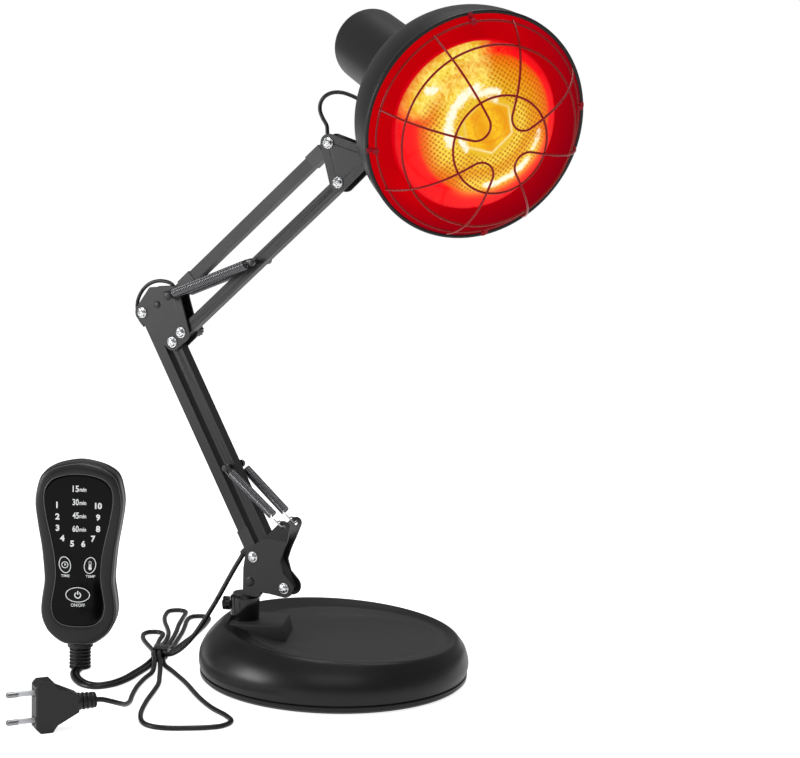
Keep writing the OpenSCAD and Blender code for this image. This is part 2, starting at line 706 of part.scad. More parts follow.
stud_d = 5;
strap_z = 12.4;
strap_t = 2.5;
module tilt_knuckle() {
    color("#8b8d90") in_yaw() {
        difference() {
            union() {
                rotate([90, 0, -head_yaw])
                    cylinder(d = 9.6, h = 2 * (plate_in - gap), center = true, $fn = 48);
                cylinder(d = 7, h = strap_z - seat, $fn = 32);
                cylinder(d = stud_d, h = strap_z + strap_t + 4.4, $fn = 32);
            }
            rotate([90, 0, -head_yaw])
                cylinder(d = pivot_d + 2 * fit, h = 4 * plate_in, center = true, $fn = 32);
        }
        // Lock nut above the strap
        translate([0, 0, strap_z + strap_t + seat]) difference() {
            cylinder(d = 8 / cos(30), h = 3, $fn = 6);
            translate([0, 0, -1]) cylinder(d = stud_d + 2 * fit, h = 5, $fn = 32);
        }
    }
}

// ---- Head ----
saddle_at = shade_depth + 28;
saddle_w = 14;
cup_r = cup_d / 2;
strap_end = [mouth_forward - saddle_at * cos(head_droop) - (cup_r + 12) * sin(head_droop), mouth_aside];
strap_screw_angle = 32;
module head_strap() {
    color("#222224") difference() {
        union() {
            in_yaw() translate([0, 0, strap_z]) {
                cylinder(d = 11.4, h = strap_t);
                rotate([0, 0, atan2(strap_end[1], strap_end[0])]) translate([0, -6, 0])
                    cube([norm(strap_end) + 3, 12, strap_t]);
            }
            in_head() {
                // Upright from the leg to the saddle
                translate([cup_r + 1, -saddle_w / 2, -saddle_at - strap_t / 2])
                    cube([11.2, saddle_w, strap_t]);
                // Saddle bent round the underside of the cup
                translate([0, 0, -saddle_at - saddle_w / 2]) intersection() {
                    difference() {
                        cylinder(r = cup_r + seat + strap_t, h = saddle_w, $fn = 96);
                        translate([0, 0, -1]) cylinder(r = cup_r + seat, h = saddle_w + 2, $fn = 96);
                    }
                    translate([cup_r * 0.62, -30, -1]) cube([30, 60, saddle_w + 2]);
                }
            }
        }
        in_yaw() translate([0, 0, strap_z - 1])
            cylinder(d = stud_d + 2 * fit, h = strap_t + 2, $fn = 32);
        in_head() strap_screw_holes();
    }
}
module strap_screw_holes() {
    for (s = [-1, 1]) rotate([0, 0, s * strap_screw_angle]) translate([cup_r - 4, 0, -saddle_at])
        rotate([0, 90, 0]) cylinder(d = 3 + 2 * fit, h = 12, $fn = 24);
}
module strap_screws() {
    color("#c9cbd0") in_head() for (s = [-1, 1]) rotate([0, 0, s * strap_screw_angle])
        translate([cup_r + strap_t + 2 * seat, 0, -saddle_at]) rotate([0, -90, 0])
            screw_up(3, strap_t + 3.5, 5.4, 1.6);
}

// Cup: a deep round can behind the shade
cup_back = shade_depth + cup_len;
cup_round = 10;
module cup() {
    color("#18181a") in_head() difference() {
        rotate_extrude($fn = 96) polygon(concat(
            [[cup_r - shade_wall, -shade_depth - seat], [cup_r, -shade_depth - seat]],
            [for (a = [0:15:90]) [cup_r - cup_round + cup_round * cos(a),
                -cup_back + cup_round - cup_round * sin(a)]],
            [[0, -cup_back], [0, -cup_back + shade_wall]],
            [for (a = [90:-15:0]) [cup_r - cup_round + (cup_round - shade_wall) * cos(a),
                -cup_back + cup_round - (cup_round - shade_wall) * sin(a)]]));
        strap_screw_holes();
        // Vents round the end of the cup
        for (a = [0:45:315]) rotate([0, 0, a + 22.5]) translate([11, -1.5, -cup_back - 1])
            cube([8, 3, 3]);
    }
}

// Shade: a spun reflector, widening forwards from a flat back to a rolled lip
shade_back_r = 31;
function shade_r(a) = shade_back_r + (shade_d / 2 - 1 - shade_back_r) * pow(cos(a), 0.8);
function shade_z(a) = -4 - (shade_depth - 4) * sin(a);
shade_hole = neck_d / 2 + 2.5;
lip_r = 1.4;
module shade() {
    outer = [for (a = [0:7.5:90]) [shade_r(a), shade_z(a)]];
    inner = [for (a = [90:-7.5:0]) [shade_r(a) - shade_wall, shade_z(a) + shade_wall * sin(a)]];
    lip = [for (a = [240:-30:-60]) [shade_d / 2 - lip_r + lip_r * cos(a), lip_r * sin(a)]];
    color("#18181a") in_head() rotate_extrude($fn = 128) polygon(concat(lip, outer,
        [[shade_hole, -shade_depth], [shade_hole, -shade_depth + shade_wall]], inner));
}

// Lamp holder: flange behind the shade, a sleeve round the bulb's neck, and the screw socket
cap_front = shade_depth + 28;
cap_len = 27;
module lamp_holder() {
    r0 = neck_d / 2 + 2;
    color("#d8d4c8") in_head() rotate_extrude() polygon([
        [r0, -shade_depth - 2 * seat], [cup_r - shade_wall - gap, -shade_depth - 2 * seat],
        [cup_r - shade_wall - gap, -shade_depth - 4], [r0 + 2.5, -shade_depth - 6],
        [r0 + 2.5, -cap_front - cap_len - 3], [r0 - 3, -cap_front - cap_len - 12],
        [0, -cap_front - cap_len - 12], [0, -cap_front - cap_len - 2.5],
        [cap_d / 2 + gap, -cap_front - cap_len - 2.5], [cap_d / 2 + gap, -cap_front - 4.5],
        [r0, -cap_front - 1]]);
}

// Bulb: a wide reflector lamp with a gently domed red face
bulb_r = bulb_d / 2;
bulb_depth = 60;
dome_r = (bulb_r * bulb_r + bulb_dome * bulb_dome) / (2 * bulb_dome);
glass_t = 1.2;
function dome_z(r) = bulb_dome - dome_r + sqrt(dome_r * dome_r - r * r);
function bowl_r(t) = sqrt(max(0, (bulb_r * bulb_r - neck_d * neck_d / 4) * (bulb_depth - t)
    / (bulb_depth - 5) + neck_d * neck_d / 4));
module bulb_glass() {
    outer = concat([for (r = [0:bulb_r / 8:bulb_r - 1]) [r, dome_z(r)]], [[bulb_r, -1]],
        [for (t = [5:5:bulb_depth]) [bowl_r(t), -t]], [[neck_d / 2, -cap_front - 0.5]]);
    inner = concat([[neck_d / 2 - glass_t, -cap_front - 0.5]],
        [for (t = [bulb_depth:-5:5]) [bowl_r(t) - glass_t, -t]], [[bulb_r - glass_t - 0.4, -1.6]],
        [for (r = [bulb_r - 3:-bulb_r / 8:0]) [r, dome_z(r) - glass_t]],
        [[0, dome_z(0) - glass_t]]);
    color("#c2201a") in_head() rotate_extrude($fn = 96) polygon(concat(outer, inner));
}
module bulb_cap() {
    color("#b9a878") in_head() rotate_extrude() polygon(concat(
        [[0, -cap_front - 0.6], [neck_d / 2 - 2, -cap_front - 0.6]],
        [for (k = [0:6]) each [[cap_d / 2, -cap_front - 3 - k * 3], [cap_d / 2 - 0.7, -cap_front - 4.5 - k * 3]]],
        [[5, -cap_front - cap_len + 1], [4.5, -cap_front - cap_len - 1.5], [0, -cap_front - cap_len - 2]]));
}

// ---- Guard ----
// Turn of the hairpins about the axis
hairpin_turn = 58;
// Closed end of a hairpin: its radius and its distance from the axis
loop_end_r = 9.5;
loop_end_at = 24.3;
function guard_z(r) = guard_h * pow(1 - pow(r / (guard_d / 2 + 1.5), 3.2), 0.75);
loop_spread = asin(loop_end_r / loop_end_at);
loop_tangent = sqrt(loop_end_at * loop_end_at - loop_end_r * loop_end_r);
leg_radii = [for (k = [0:11]) guard_d / 2 - (guard_d / 2 - loop_tangent) * pow(k / 12, 1.35)];
function on_guard(x, y) = [x, y, guard_z(norm([x, y]))];
function hairpin_path() = concat(
    [for (r = leg_radii) on_guard(r * cos(loop_spread), -r * sin(loop_spread))],
    [for (k = [0:10]) let (a = -90 - loop_spread - k * (180 - 2 * loop_spread) / 10)
        on_guard(loop_end_at + loop_end_r * cos(a), loop_end_r * sin(a))],
    [for (k = [11:-1:0]) on_guard(leg_radii[k] * cos(loop_spread), leg_radii[k] * sin(loop_spread))]);
// A ring lies inside the hairpins, a wire's width from them
module guard_ring(d) {
    r = d / 2;
    slope = atan2(guard_z(r - 0.5) - guard_z(r + 0.5), 1);
    step = guard_wire + seat;
    translate([0, 0, guard_z(r) - step * cos(slope)]) rotate_extrude($fn = 128)
        translate([r - step * sin(slope), 0]) circle(d = guard_wire, $fn = 24);
}
module guard() {
    color("#7d1f1c") in_head() rotate([0, 0, hairpin_turn]) {
        for (k = [0:hairpins - 1]) rotate([0, 0, k * 360 / hairpins])
            tube(hairpin_path(), guard_wire / 2, 8, [0.1, 0.2, 1]);
        for (d = [guard_d, guard_mid_d, guard_in_d]) guard_ring(d);
    }
}
// A clip stands on the lip and hooks over the base ring
module guard_clips() {
    t = 0.8;
    color("#3a1210") in_head() for (k = [0:3]) rotate([0, 0, hairpin_turn + 45 + 90 * k])
        translate([0, 1.6, 0]) rotate([90, 0, 0]) linear_extrude(3.2) polygon([
            [shade_d / 2 - 0.6, lip_r + seat], [shade_d / 2 - 0.6, lip_r + seat + t],
            [guard_d / 2 + t, lip_r + seat + t], [guard_d / 2 + t, 6.9], [guard_d / 2 - 3, 6.9],
            [guard_d / 2 - 3, 6.9 - t], [guard_d / 2 - 0.4, 6.9 - t], [guard_d / 2 - 0.4, lip_r + seat]]);
}

// ---- Handset ----
// It stands on its strain relief. Its frame: x to the right, y up, z to the front.
handset_at = [-188, -16];
handset_turn = 4.8;
relief_h = 20;
module in_handset() {
    translate([handset_at[0], handset_at[1], 0]) rotate([0, 0, handset_turn])
        rotate([90, 0, 0]) children();
}
// Outlines of the body and of its glossy panel: shares of the height and of half the width
body_shares = [
    [0, 0], [0.004, 0.31], [0.033, 0.531], [0.075, 0.711], [0.134, 0.829], [0.192, 0.863],
    [0.259, 0.839], [0.342, 0.789], [0.409, 0.798], [0.534, 0.851], [0.66, 0.941],
    [0.776, 1], [0.868, 0.947], [0.926, 0.851], [0.96, 0.674], [0.985, 0.404], [1, 0]
];
panel_shares = [
    [0.108, 0], [0.11, 0.186], [0.121, 0.373], [0.149, 0.516], [0.189, 0.581], [0.234, 0.593],
    [0.288, 0.559], [0.346, 0.519], [0.405, 0.506], [0.492, 0.534], [0.587, 0.609],
    [0.69, 0.708], [0.792, 0.77], [0.858, 0.733], [0.905, 0.575], [0.929, 0.295], [0.935, 0]
];
body_mid = relief_h + handset_h / 2;
// The closed outline, drawn in by d and counted anticlockwise from the front
function outline(shares, d) = let (right = [for (q = shares) [q[1] * handset_w / 2,
    relief_h + q[0] * handset_h]], n = len(right), loop = concat(right,
    [for (i = [n - 2:-1:1]) [-right[i][0], right[i][1]]]))
    [for (p = loop) [p[0] * (1 - 2 * d / handset_w),
        body_mid + (p[1] - body_mid) * (1 - 2 * d / handset_h)]];
function at_depth(o, z) = [for (p = o) [p[0], p[1], z]];
function body_row(d, z) = at_depth(outline(body_shares, d), z);
function panel_row(d, z) = at_depth(outline(panel_shares, d), z);
panel_t = 1.1;
panel_z = front_depth - panel_t - 2 * seat;
ledge_t = 1.3;

module handset_front() {
    color("#1d1d20") in_handset() ring_skin([
        body_row(0, 0), body_row(0, front_depth - 4.5), body_row(0.5, front_depth - 2.2),
        body_row(1.6, front_depth - 0.8), body_row(3.4, front_depth), panel_row(-0.2, front_depth),
        panel_row(-0.2, panel_z), panel_row(2.4, panel_z), panel_row(2.4, panel_z - ledge_t),
        body_row(handset_wall + 3, panel_z - ledge_t), body_row(handset_wall, panel_z - 4.5),
        body_row(handset_wall, 0)
    ]);
}

// Screw posts of the back shell, as [x, height above the relief]
post_places = [[0, handset_h * 0.1], [-handset_w * 0.22, handset_h * 0.72],
    [handset_w * 0.22, handset_h * 0.72]];
post_d = 6.4;
board_z = 1.6;
board_t = 1.6;
module handset_back() {
    color("#1d1d20") in_handset() difference() {
        union() {
            skin([
                body_row(3.6, -back_depth), body_row(1.4, -back_depth + 0.7),
                body_row(0.3, -back_depth + 2.4), body_row(0, -back_depth + 4.6), body_row(0, -seat),
                body_row(handset_wall, -seat), body_row(handset_wall, -back_depth + 4.8),
                body_row(handset_wall + 2.6, -back_depth + handset_wall)
            ]);
            for (p = post_places) translate([p[0], relief_h + p[1], -back_depth + 1])
                cylinder(d = post_d, h = board_z + back_depth - 1 - seat, $fn = 32);
        }
        for (p = post_places) translate([p[0], relief_h + p[1], -back_depth - 1]) {
            cylinder(d = 2.2 + 2 * fit, h = back_depth + 8, $fn = 24);
            cylinder(d = 4.6, h = 3, $fn = 24);
        }
    }
}
module handset_screws() {
    color("#8b8d90") in_handset() for (p = post_places)
        translate([p[0], relief_h + p[1], -back_depth + 2 - seat])
            screw_up(2.2, back_depth + board_z - 2 + board_t, 4.2, 1.6);
}

// Buttons, as [x, height above the relief, width, height, tilt]
time_at = [-9.5, handset_h * 0.446, 9.7, 13.5, 12];
temp_at = [8.9, handset_h * 0.446, 9.7, 13.5, -12];
power_at = [0, handset_h * 0.283, 18.9, 12.3, 0];
button_rise = 1.1;
flange_over = 0.6;
module oval(b, grow, z0, z1) {
    translate([b[0], relief_h + b[1], z0]) rotate([0, 0, b[4]]) linear_extrude(z1 - z0)
        polygon([for (k = [0:47]) [(b[2] / 2 + grow) * cos(7.5 * k), (b[3] / 2 + grow) * sin(7.5 * k)]]);
}
button_seat = panel_z - seat;
module button(b) {
    color("#2a2a2e") in_handset() {
        oval(b, 0, button_seat - 1.2, front_depth + button_rise);
        oval(b, flange_over, button_seat - 1.2, button_seat - seat);
        translate([b[0], relief_h + b[1], button_seat - 3])
            cylinder(d = 3, h = 2.5, $fn = 32);
    }
}
module time_button() button(time_at);
module temp_button() button(temp_at);
module power_button() button(power_at);
module handset_panel() {
    color("#0c0c0e") in_handset() difference() {
        translate([0, 0, panel_z + seat]) linear_extrude(panel_t) polygon(outline(panel_shares, 0));
        for (b = [time_at, temp_at, power_at]) oval(b, fit, panel_z - 1, front_depth + 1);
    }
}
module handset_board() {
    color("#1f5b36") in_handset() difference() {
        union() {
            translate([0, 0, board_z]) linear_extrude(board_t) polygon(outline(body_shares, 5));
            for (b = [time_at, temp_at, power_at]) translate([b[0], relief_h + b[1], board_z])
                translate([-3, -3, 0])
                    cube([6, 6, button_seat - 3 - button_travel - gap - board_z]);
            // Relay and supply
            translate([-9, relief_h + handset_h * 0.8, board_z]) cube([18, 14, 6.5]);
        }
        for (p = post_places) translate([p[0], relief_h + p[1], 0])
            cylinder(d = 2.2 + 2 * fit, h = 12, $fn = 24);
    }
}
// Ribbed strain relief with two short outlets for the cords at its foot
outlet_pitch = 3.9;
relief_w = 16;
module handset_relief() {
    ribs = 6;
    rib = (relief_h - 4) / ribs;
    color("#151517") {
        translate([handset_at[0], handset_at[1], 0]) rotate_extrude() polygon(concat(
            [[0, 0], [relief_w / 2 - 0.6, 0]],
            [for (k = [0:ribs - 1]) each [[relief_w / 2, rib * k + 0.5], [relief_w / 2, rib * (k + 0.6)],
                [relief_w / 2 - 1.4, rib * (k + 0.62)], [relief_w / 2 - 1.4, rib * (k + 0.98)]]],
            [[9.4, relief_h - 3.4], [9.4, relief_h - seat], [0, relief_h - seat]]));
        translate([handset_at[0], handset_at[1], 0]) rotate([0, 0, handset_turn])
            for (s = [-1, 1]) translate([s * outlet_pitch / 2, 0, cord_d / 2]) rotate([90, 0, 0])
                cylinder(d = cord_d, h = relief_w / 2 + 2.4, $fn = 32);
    }
}

// ---- Plug ----
// It stands on the edge of its head. Its frame: x runs from the face of the head to the cord.
plug_at = [-181.6, -168.2];
plug_turn = 31.5;
plug_head = 14.5;
plug_taper = 15.5;
plug_relief = 12.5;
module in_plug() {
    translate([plug_at[0], plug_at[1], plug_h / 2]) rotate([0, 0, plug_turn]) children();
}
module plug_body() {
    h = plug_h / 2;
    t = plug_t / 2;
    full = plug_head + plug_taper;
    color("#151517") in_plug() difference() {
        union() {
            intersection() {
                rotate([90, 0, 0]) linear_extrude(plug_t, center = true) polygon([
                    [0, -h + 3.2], [3.2, -h], [plug_head - 3, -h], [plug_head, -13.3], [full, -6],
                    [full, 6], [plug_head, 13.3], [plug_head - 3, h], [3.2, h], [0, h - 3.2]]);
                linear_extrude(plug_h + 2, center = true) polygon([
                    [0, -t + 1.2], [1.2, -t], [plug_head, -t], [full, -5.6], [full, 5.6],
                    [plug_head, t], [1.2, t], [0, t - 1.2]]);
            }
            rotate([0, 90, 0]) rotate_extrude() polygon(concat([[0, full - 1], [6, full - 1]],
                [for (k = [0:3]) let (x = full + 3 * k) each [[6 - k * 0.15, x + 0.2],
                    [6 - k * 0.15, x + 1.9], [4.6, x + 1.95], [4.6, x + 2.9]]],
                [[5.4, full + 11.6], [5.4, full + plug_relief], [0, full + plug_relief]]));
        }
        for (s = [-1, 1]) translate([-1, 0, s * pin_pitch / 2]) rotate([0, 90, 0]) {
            cylinder(d = plug_pin_d - 1 + 2 * fit, h = 10, $fn = 32);
            // Shallow notch round the root of the pin
            cylinder(d = plug_pin_d + 2, h = 1.6, $fn = 32);
        }
    }
}
pin_tip = 8;
module plug_pins() {
    color("#d5d7dc") in_plug() for (s = [-1, 1]) translate([0, 0, s * pin_pitch / 2])
        rotate([0, -90, 0]) {
            translate([0, 0, -8.8])
                cylinder(d = plug_pin_d - 1, h = 8.8 + plug_pin_len - pin_tip + 0.5, $fn = 32);
            rotate_extrude($fn = 32) polygon([[0, plug_pin_len - pin_tip],
                [plug_pin_d / 2, plug_pin_len - pin_tip], [plug_pin_d / 2, plug_pin_len - 1.2],
                [plug_pin_d / 2 - 1, plug_pin_len], [0, plug_pin_len]]);
        }
}
module plug_sleeves() {
    color("#9a9ca0") in_plug() for (s = [-1, 1]) translate([0, 0, s * pin_pitch / 2])
        rotate([0, -90, 0]) difference() {
            translate([0, 0, -0.5])
                cylinder(d = plug_pin_d - 0.4, h = plug_pin_len - pin_tip - seat + 0.5, $fn = 32);
            translate([0, 0, -1]) cylinder(d = plug_pin_d - 1 + 2 * fit, h = 20, $fn = 32);
        }
}

// ---- Cords ----
// Both routes were laid by hand. The ends lie a little clear of what they meet.
mains_route = [
    [-145, -145.7, 17.6], [-141, -143, 17], [-136.5, -138, 14.5], [-133, -129, 10.5],
    [-131.5, -115, 5.5], [-132, -99, 2.5], [-134, -81, 1.8], [-135, -61, 1.8],
    [-134, -41, 1.8], [-132, -25, 1.8], [-132.5, -15, 3.4], [-134, -6, 6.2],
    [-136.5, 2, 7.2], [-138.2, 10, 6.9], [-138.2, 17, 6.6], [-138.2, 22, 6.6],
    [-140.2, 30, 5.6], [-142.2, 39, 3.6], [-143.5, 51, 1.9], [-144.5, 63, 1.8],
    [-144.8, 76.5, 1.8], [-147, 82.4, 1.8], [-152.4, 84.7, 1.8], [-157.8, 82.4, 1.8],
    [-160, 76.5, 1.8], [-159, 68, 1.8], [-156, 59, 1.8], [-151, 48, 1.8],
    [-146, 38, 1.8], [-142, 29, 2.1], [-138.4, 22, 2.9], [-138.2, 13, 2.9],
    [-138.6, 3, 2.6], [-141, -11, 1.9], [-144.8, -27, 1.8], [-149, -43, 1.8],
    [-155.4, -55.4, 1.8], [-163.4, -61.8, 1.8], [-172, -59.3, 1.8], [-179.6, -50, 1.8],
    [-184.4, -39, 1.8], [-185.5, -31, 1.8], [-185.3, -26.6, 1.8]
];
lamp_route = [
    [-189.2, -27, 1.8], [-189.1, -32, 1.8], [-187.6, -40.5, 1.8], [-182.6, -53.2, 1.8],
    [-174.5, -64, 1.8], [-163.5, -67.4, 1.8], [-152.2, -59, 1.8], [-145.3, -45, 1.8],
    [-140.9, -28, 1.8], [-137.2, -11, 1.9], [-134.9, 3, 2.6], [-134.5, 13, 2.9],
    [-134.5, 21, 2.9], [-134.6, 33, 2], [-134.8, 49, 1.8], [-135.3, 69, 1.8],
    [-136.5, 89, 1.8], [-138.5, 109, 1.8], [-139.4, 129, 1.8], [-140, 145.5, 1.8],
    [-142.2, 151.2, 1.8], [-147.6, 153.5, 1.8], [-153, 151.2, 1.8], [-155.2, 145.5, 1.8],
    [-154.2, 129, 1.8], [-150.5, 113, 1.8], [-146, 99, 1.8], [-142, 85, 1.8],
    [-139.8, 71, 1.8], [-139, 55, 1.8], [-138.4, 41, 3.6], [-136.2, 31, 5.6],
    [-134.5, 22, 6.6], [-134.5, 17, 6.6], [-134.2, 10, 6.8], [-132.2, 2, 6.4],
    [-129.5, -7, 4.2], [-127, -19, 2.2], [-124.5, -33, 1.8], [-121.5, -51, 1.8],
    [-121, -71, 1.8], [-121, -96, 1.8], [-119, -122, 1.8], [-114, -140, 1.8],
    [-106, -148, 1.8], [-94, -150, 1.8], [-80, -147.5, 1.8], [-68, -144, 1.8],
    [-59, -138.5, 1.8], [-55, -128, 1.8], [-61, -116, 1.8], [-74, -100, 1.8],
    [-87, -78, 1.8], [-102, -47, 1.8], [-112, -29, 1.8], [-119, -17, 1.8],
    [-126, -6, 2], [-129.6, 4, 2.7], [-130.8, 13, 2.9], [-130.8, 21, 2.9],
    [-128.2, 33, 2], [-126.9, 41, 1.8], [-125, 54, 1.8], [-121, 79, 1.8],
    [-118.5, 104, 1.8], [-117.8, 119, 1.8], [-117.9, 130.2, 1.8], [-120.3, 136.1, 1.8],
    [-126.1, 138.5, 1.8], [-131.9, 136.1, 1.8], [-134.3, 130.2, 1.8], [-134.3, 119, 1.8],
    [-133, 107, 1.8], [-131.5, 89, 1.8], [-130.8, 69, 1.8], [-130.5, 55, 1.8],
    [-130.5, 49, 1.9], [-130.7, 41, 3], [-130.9, 33, 5], [-130.8, 27, 6.2],
    [-130.8, 21, 6.6], [-130.8, 17, 6.6], [-130.5, 11.4, 6.8], [-127.4, 4, 7.9],
    [-122.23, -1.1, 9.69], [-116.77, -2.42, 12.92], [-111.47, -2.21, 17.65], [-105.82, -0.98, 24.38],
    [-99.82, 0.29, 33.62], [-93.97, 1.1, 43.35], [-88.27, 1.64, 53.58], [-82.23, 1.84, 65.31],
    [-75.83, 1.79, 77.54], [-71.09, 1.22, 85.77], [-70, 0.9, 88.1]
];
module mains_cord() { color("#1a1a1c") tube(mains_route, cord_d / 2, 8); }
module lamp_cord() { color("#1a1a1c") tube(lamp_route, cord_d / 2, 8); }

// Tie round the strands, which lie three abreast in two layers
tie_at = [-134.5, 17, 4.75];
strand_pitch = 3.7;
tie_wall = 0.9;
tie_gap = 0.25;
module cord_tie() {
    w = 2 * strand_pitch + cord_d + 2 * tie_gap;
    h = strand_pitch + cord_d + 2 * tie_gap;
    color("#0f0f10") translate(tie_at) difference() {
        cube([w + 2 * tie_wall, tie_w, h + 2 * tie_wall], center = true);
        cube([w, tie_w + 2, h], center = true);
    }
}

base_shell();
base_weight();
base_cover();
base_pad();
base_screws();
socket_collar();
collar_screws();
handset_front();
handset_back();
handset_panel();
handset_board();
handset_relief();
handset_screws();
mains_cord();
lamp_cord();
cord_tie();
plug_body();
plug_pins();
plug_sleeves();
clamp_knob();
time_button();
temp_button();
power_button();
swivel_post();
bracket_near();
bracket_far();
bracket_screws();
rear_bar();
rear_bar_gland();
front_bar();
lower_spring_pin();
lower_spring_near();
lower_spring_far();
elbow_plate_near();
elbow_plate_far();
elbow_screws();
elbow_spacer();
elbow_lead();
elbow_knob();
arm_low_bar();
upper_spring_pin();
upper_spring_near();
upper_spring_far();
arm_top_bar();
top_bar_sleeves();
head_plate_near();
head_plate_far();
head_screws();
head_lead();
tilt_knuckle();
head_strap();
strap_screws();
cup();
lamp_holder();
shade();
bulb_glass();
bulb_cap();
guard();
guard_clips();
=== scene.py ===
# Infrared heat therapy lamp: the dressed model
import json
import math
import random

import bpy
from mathutils import Matrix, Quaternion, Vector

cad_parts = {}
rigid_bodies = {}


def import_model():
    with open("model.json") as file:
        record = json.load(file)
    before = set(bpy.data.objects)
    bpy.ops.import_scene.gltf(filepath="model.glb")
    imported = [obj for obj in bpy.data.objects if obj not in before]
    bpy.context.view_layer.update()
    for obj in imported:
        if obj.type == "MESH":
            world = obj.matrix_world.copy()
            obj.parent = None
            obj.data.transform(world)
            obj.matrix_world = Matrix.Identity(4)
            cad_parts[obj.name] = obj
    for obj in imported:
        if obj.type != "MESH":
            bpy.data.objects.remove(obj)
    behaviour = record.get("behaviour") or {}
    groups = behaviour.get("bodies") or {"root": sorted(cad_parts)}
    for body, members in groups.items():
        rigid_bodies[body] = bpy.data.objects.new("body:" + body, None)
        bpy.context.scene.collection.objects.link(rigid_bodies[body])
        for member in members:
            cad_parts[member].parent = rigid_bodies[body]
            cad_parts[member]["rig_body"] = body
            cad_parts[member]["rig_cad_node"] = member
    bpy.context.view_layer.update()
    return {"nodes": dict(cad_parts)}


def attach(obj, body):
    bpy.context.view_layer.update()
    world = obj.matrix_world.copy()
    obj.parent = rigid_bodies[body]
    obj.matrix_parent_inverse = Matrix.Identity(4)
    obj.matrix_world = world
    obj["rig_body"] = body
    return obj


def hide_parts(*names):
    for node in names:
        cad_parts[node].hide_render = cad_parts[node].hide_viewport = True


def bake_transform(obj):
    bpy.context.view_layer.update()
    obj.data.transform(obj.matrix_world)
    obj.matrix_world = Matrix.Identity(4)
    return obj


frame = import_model()
scene = bpy.context.scene
node = frame["nodes"]
MM = 0.001

# ---- Values of the source, in millimetres and degrees ----
BASE_D, BASE_H, SEAM_Z = 200, 35.8, 5.8
RIM_D, RIM_SLOPE, TRAY_D, TRAY_Z = 171, 3.2, 114, 28.3
TRAY_X, RIM_X = 18.7, 4.3
BLOCK_W, BLOCK_Z, BLOCK_FRONT, BLOCK_SLANT = 39, 40, -33.5, 3.5
POST_X, COLLAR_TOP = -67.5, 58
LEAN, RISE = 120, 42
LOWER_LEN, UPPER_LEN, BAR_W, PLATE_T = 200, 174, 8.6, 1.5
SPRING_D, WIRE_D, PIN_D = 7.2, 1.2, 3
SHADE_D, SHADE_DEPTH, WALL = 160, 67, 1.2
CUP_R, CUP_LEN, CUP_ROUND = 28, 141, 10
BULB_R, BULB_DOME, BULB_DEPTH, NECK_R = 59, 11, 60, 17
GUARD_D, GUARD_MID, GUARD_IN, GUARD_H, GUARD_WIRE = 151, 128, 68, 44, 1.8
WIRE_SEEN = 1.55
HAIRPIN_TURN, LOOP_R, LOOP_AT = 58, 9.5, 24.3
HANDSET_AT, HANDSET_TURN, RELIEF_H = (-188, -16), 4.8, 20
HAND_H, HAND_W, FRONT, BACK, HAND_WALL = 137, 64.4, 12, 10, 2
PLUG_AT, PLUG_TURN, PLUG_H = (-181.6, -168.2), 31.5, 35.3
CORD_D, LEAD_D = 3.6, 2.8
TIE_AT = (-134.5, 17, 4.75)


def turn(axis, angle):
    return Matrix.Rotation(math.radians(angle), 4, axis)


def shift(x, y, z=0.0):
    return Matrix.Translation((x, y, z))


def along(angle, d):
    return Vector((d * math.cos(math.radians(angle)), d * math.sin(math.radians(angle)), 0))


# Places in the plane of the arm: x is reach, y is height, z is towards the viewer
LOWER_ROOT = Vector((10, COLLAR_TOP + 31, 0))
FRONT_ROOT = LOWER_ROOT + Vector((27, -20, 0))
ELBOW = LOWER_ROOT + along(LEAN, LOWER_LEN)
LOW_ROOT = ELBOW + Vector((34.5, -12.3, 0))
TOP_ROOT = ELBOW + Vector((26, 15, 0))
TOP_END = TOP_ROOT + along(RISE, UPPER_LEN)
TILT = TOP_END + Vector((31, -8, 0))
PLATE_IN = BAR_W / 2 + 0.6
PLATE_OUT = PLATE_IN + PLATE_T

ARM = shift(POST_X, 0) @ turn('Z', -22.2) @ turn('X', 90)
YAW = shift(POST_X, 0) @ turn('Z', -22.2) @ shift(TILT.x, 0, TILT.y) @ turn('Z', -39.6)
HEAD = YAW @ shift(74.8, 44.5, 23.5) @ turn('Y', 106.2)
HAND = shift(*HANDSET_AT) @ turn('Z', HANDSET_TURN) @ turn('X', 90)
PLUG = shift(PLUG_AT[0], PLUG_AT[1], PLUG_H / 2) @ turn('Z', PLUG_TURN)
ROW = Matrix.Identity(4)

# ---- Camera ----
cam = bpy.data.objects.new("camera", bpy.data.cameras.new("camera"))
scene.collection.objects.link(cam)
scene.camera = cam
cam.data.lens = 90
cam.data.sensor_width = 36
cam.data.clip_end = 20
cam.location = Vector((163.6, -1433.2, 430.5)) * MM
aim = Vector((42.9, 3.6, 223.6)) * MM - cam.location
cam.rotation_mode = 'QUATERNION'
cam.rotation_quaternion = aim.to_track_quat('-Z', 'Y') @ Quaternion((0, 0, 1), math.radians(1.65))


# ---- Making meshes ----
def make(name, verts, faces, mats, at=ROW, slots=None, smooth=True, local=False):
    """A piece from points in millimetres in the frame at; local keeps those points, in metres,
    as the mesh's own values, for its materials."""
    me = bpy.data.meshes.new(name)
    me.from_pydata([(at @ Vector(v)) * MM for v in verts], [], faces)
    if local:
        place = me.attributes.new("place", 'FLOAT_VECTOR', 'POINT')
        place.data.foreach_set("vector", [c * MM for v in verts for c in v])
    for m in mats:
        me.materials.append(m)
    if slots:
        me.polygons.foreach_set("material_index", slots)
    me.polygons.foreach_set("use_smooth", [smooth] * len(me.polygons))
    me.update()
    ob = bpy.data.objects.new(name, me)
    scene.collection.objects.link(ob)
    return ob


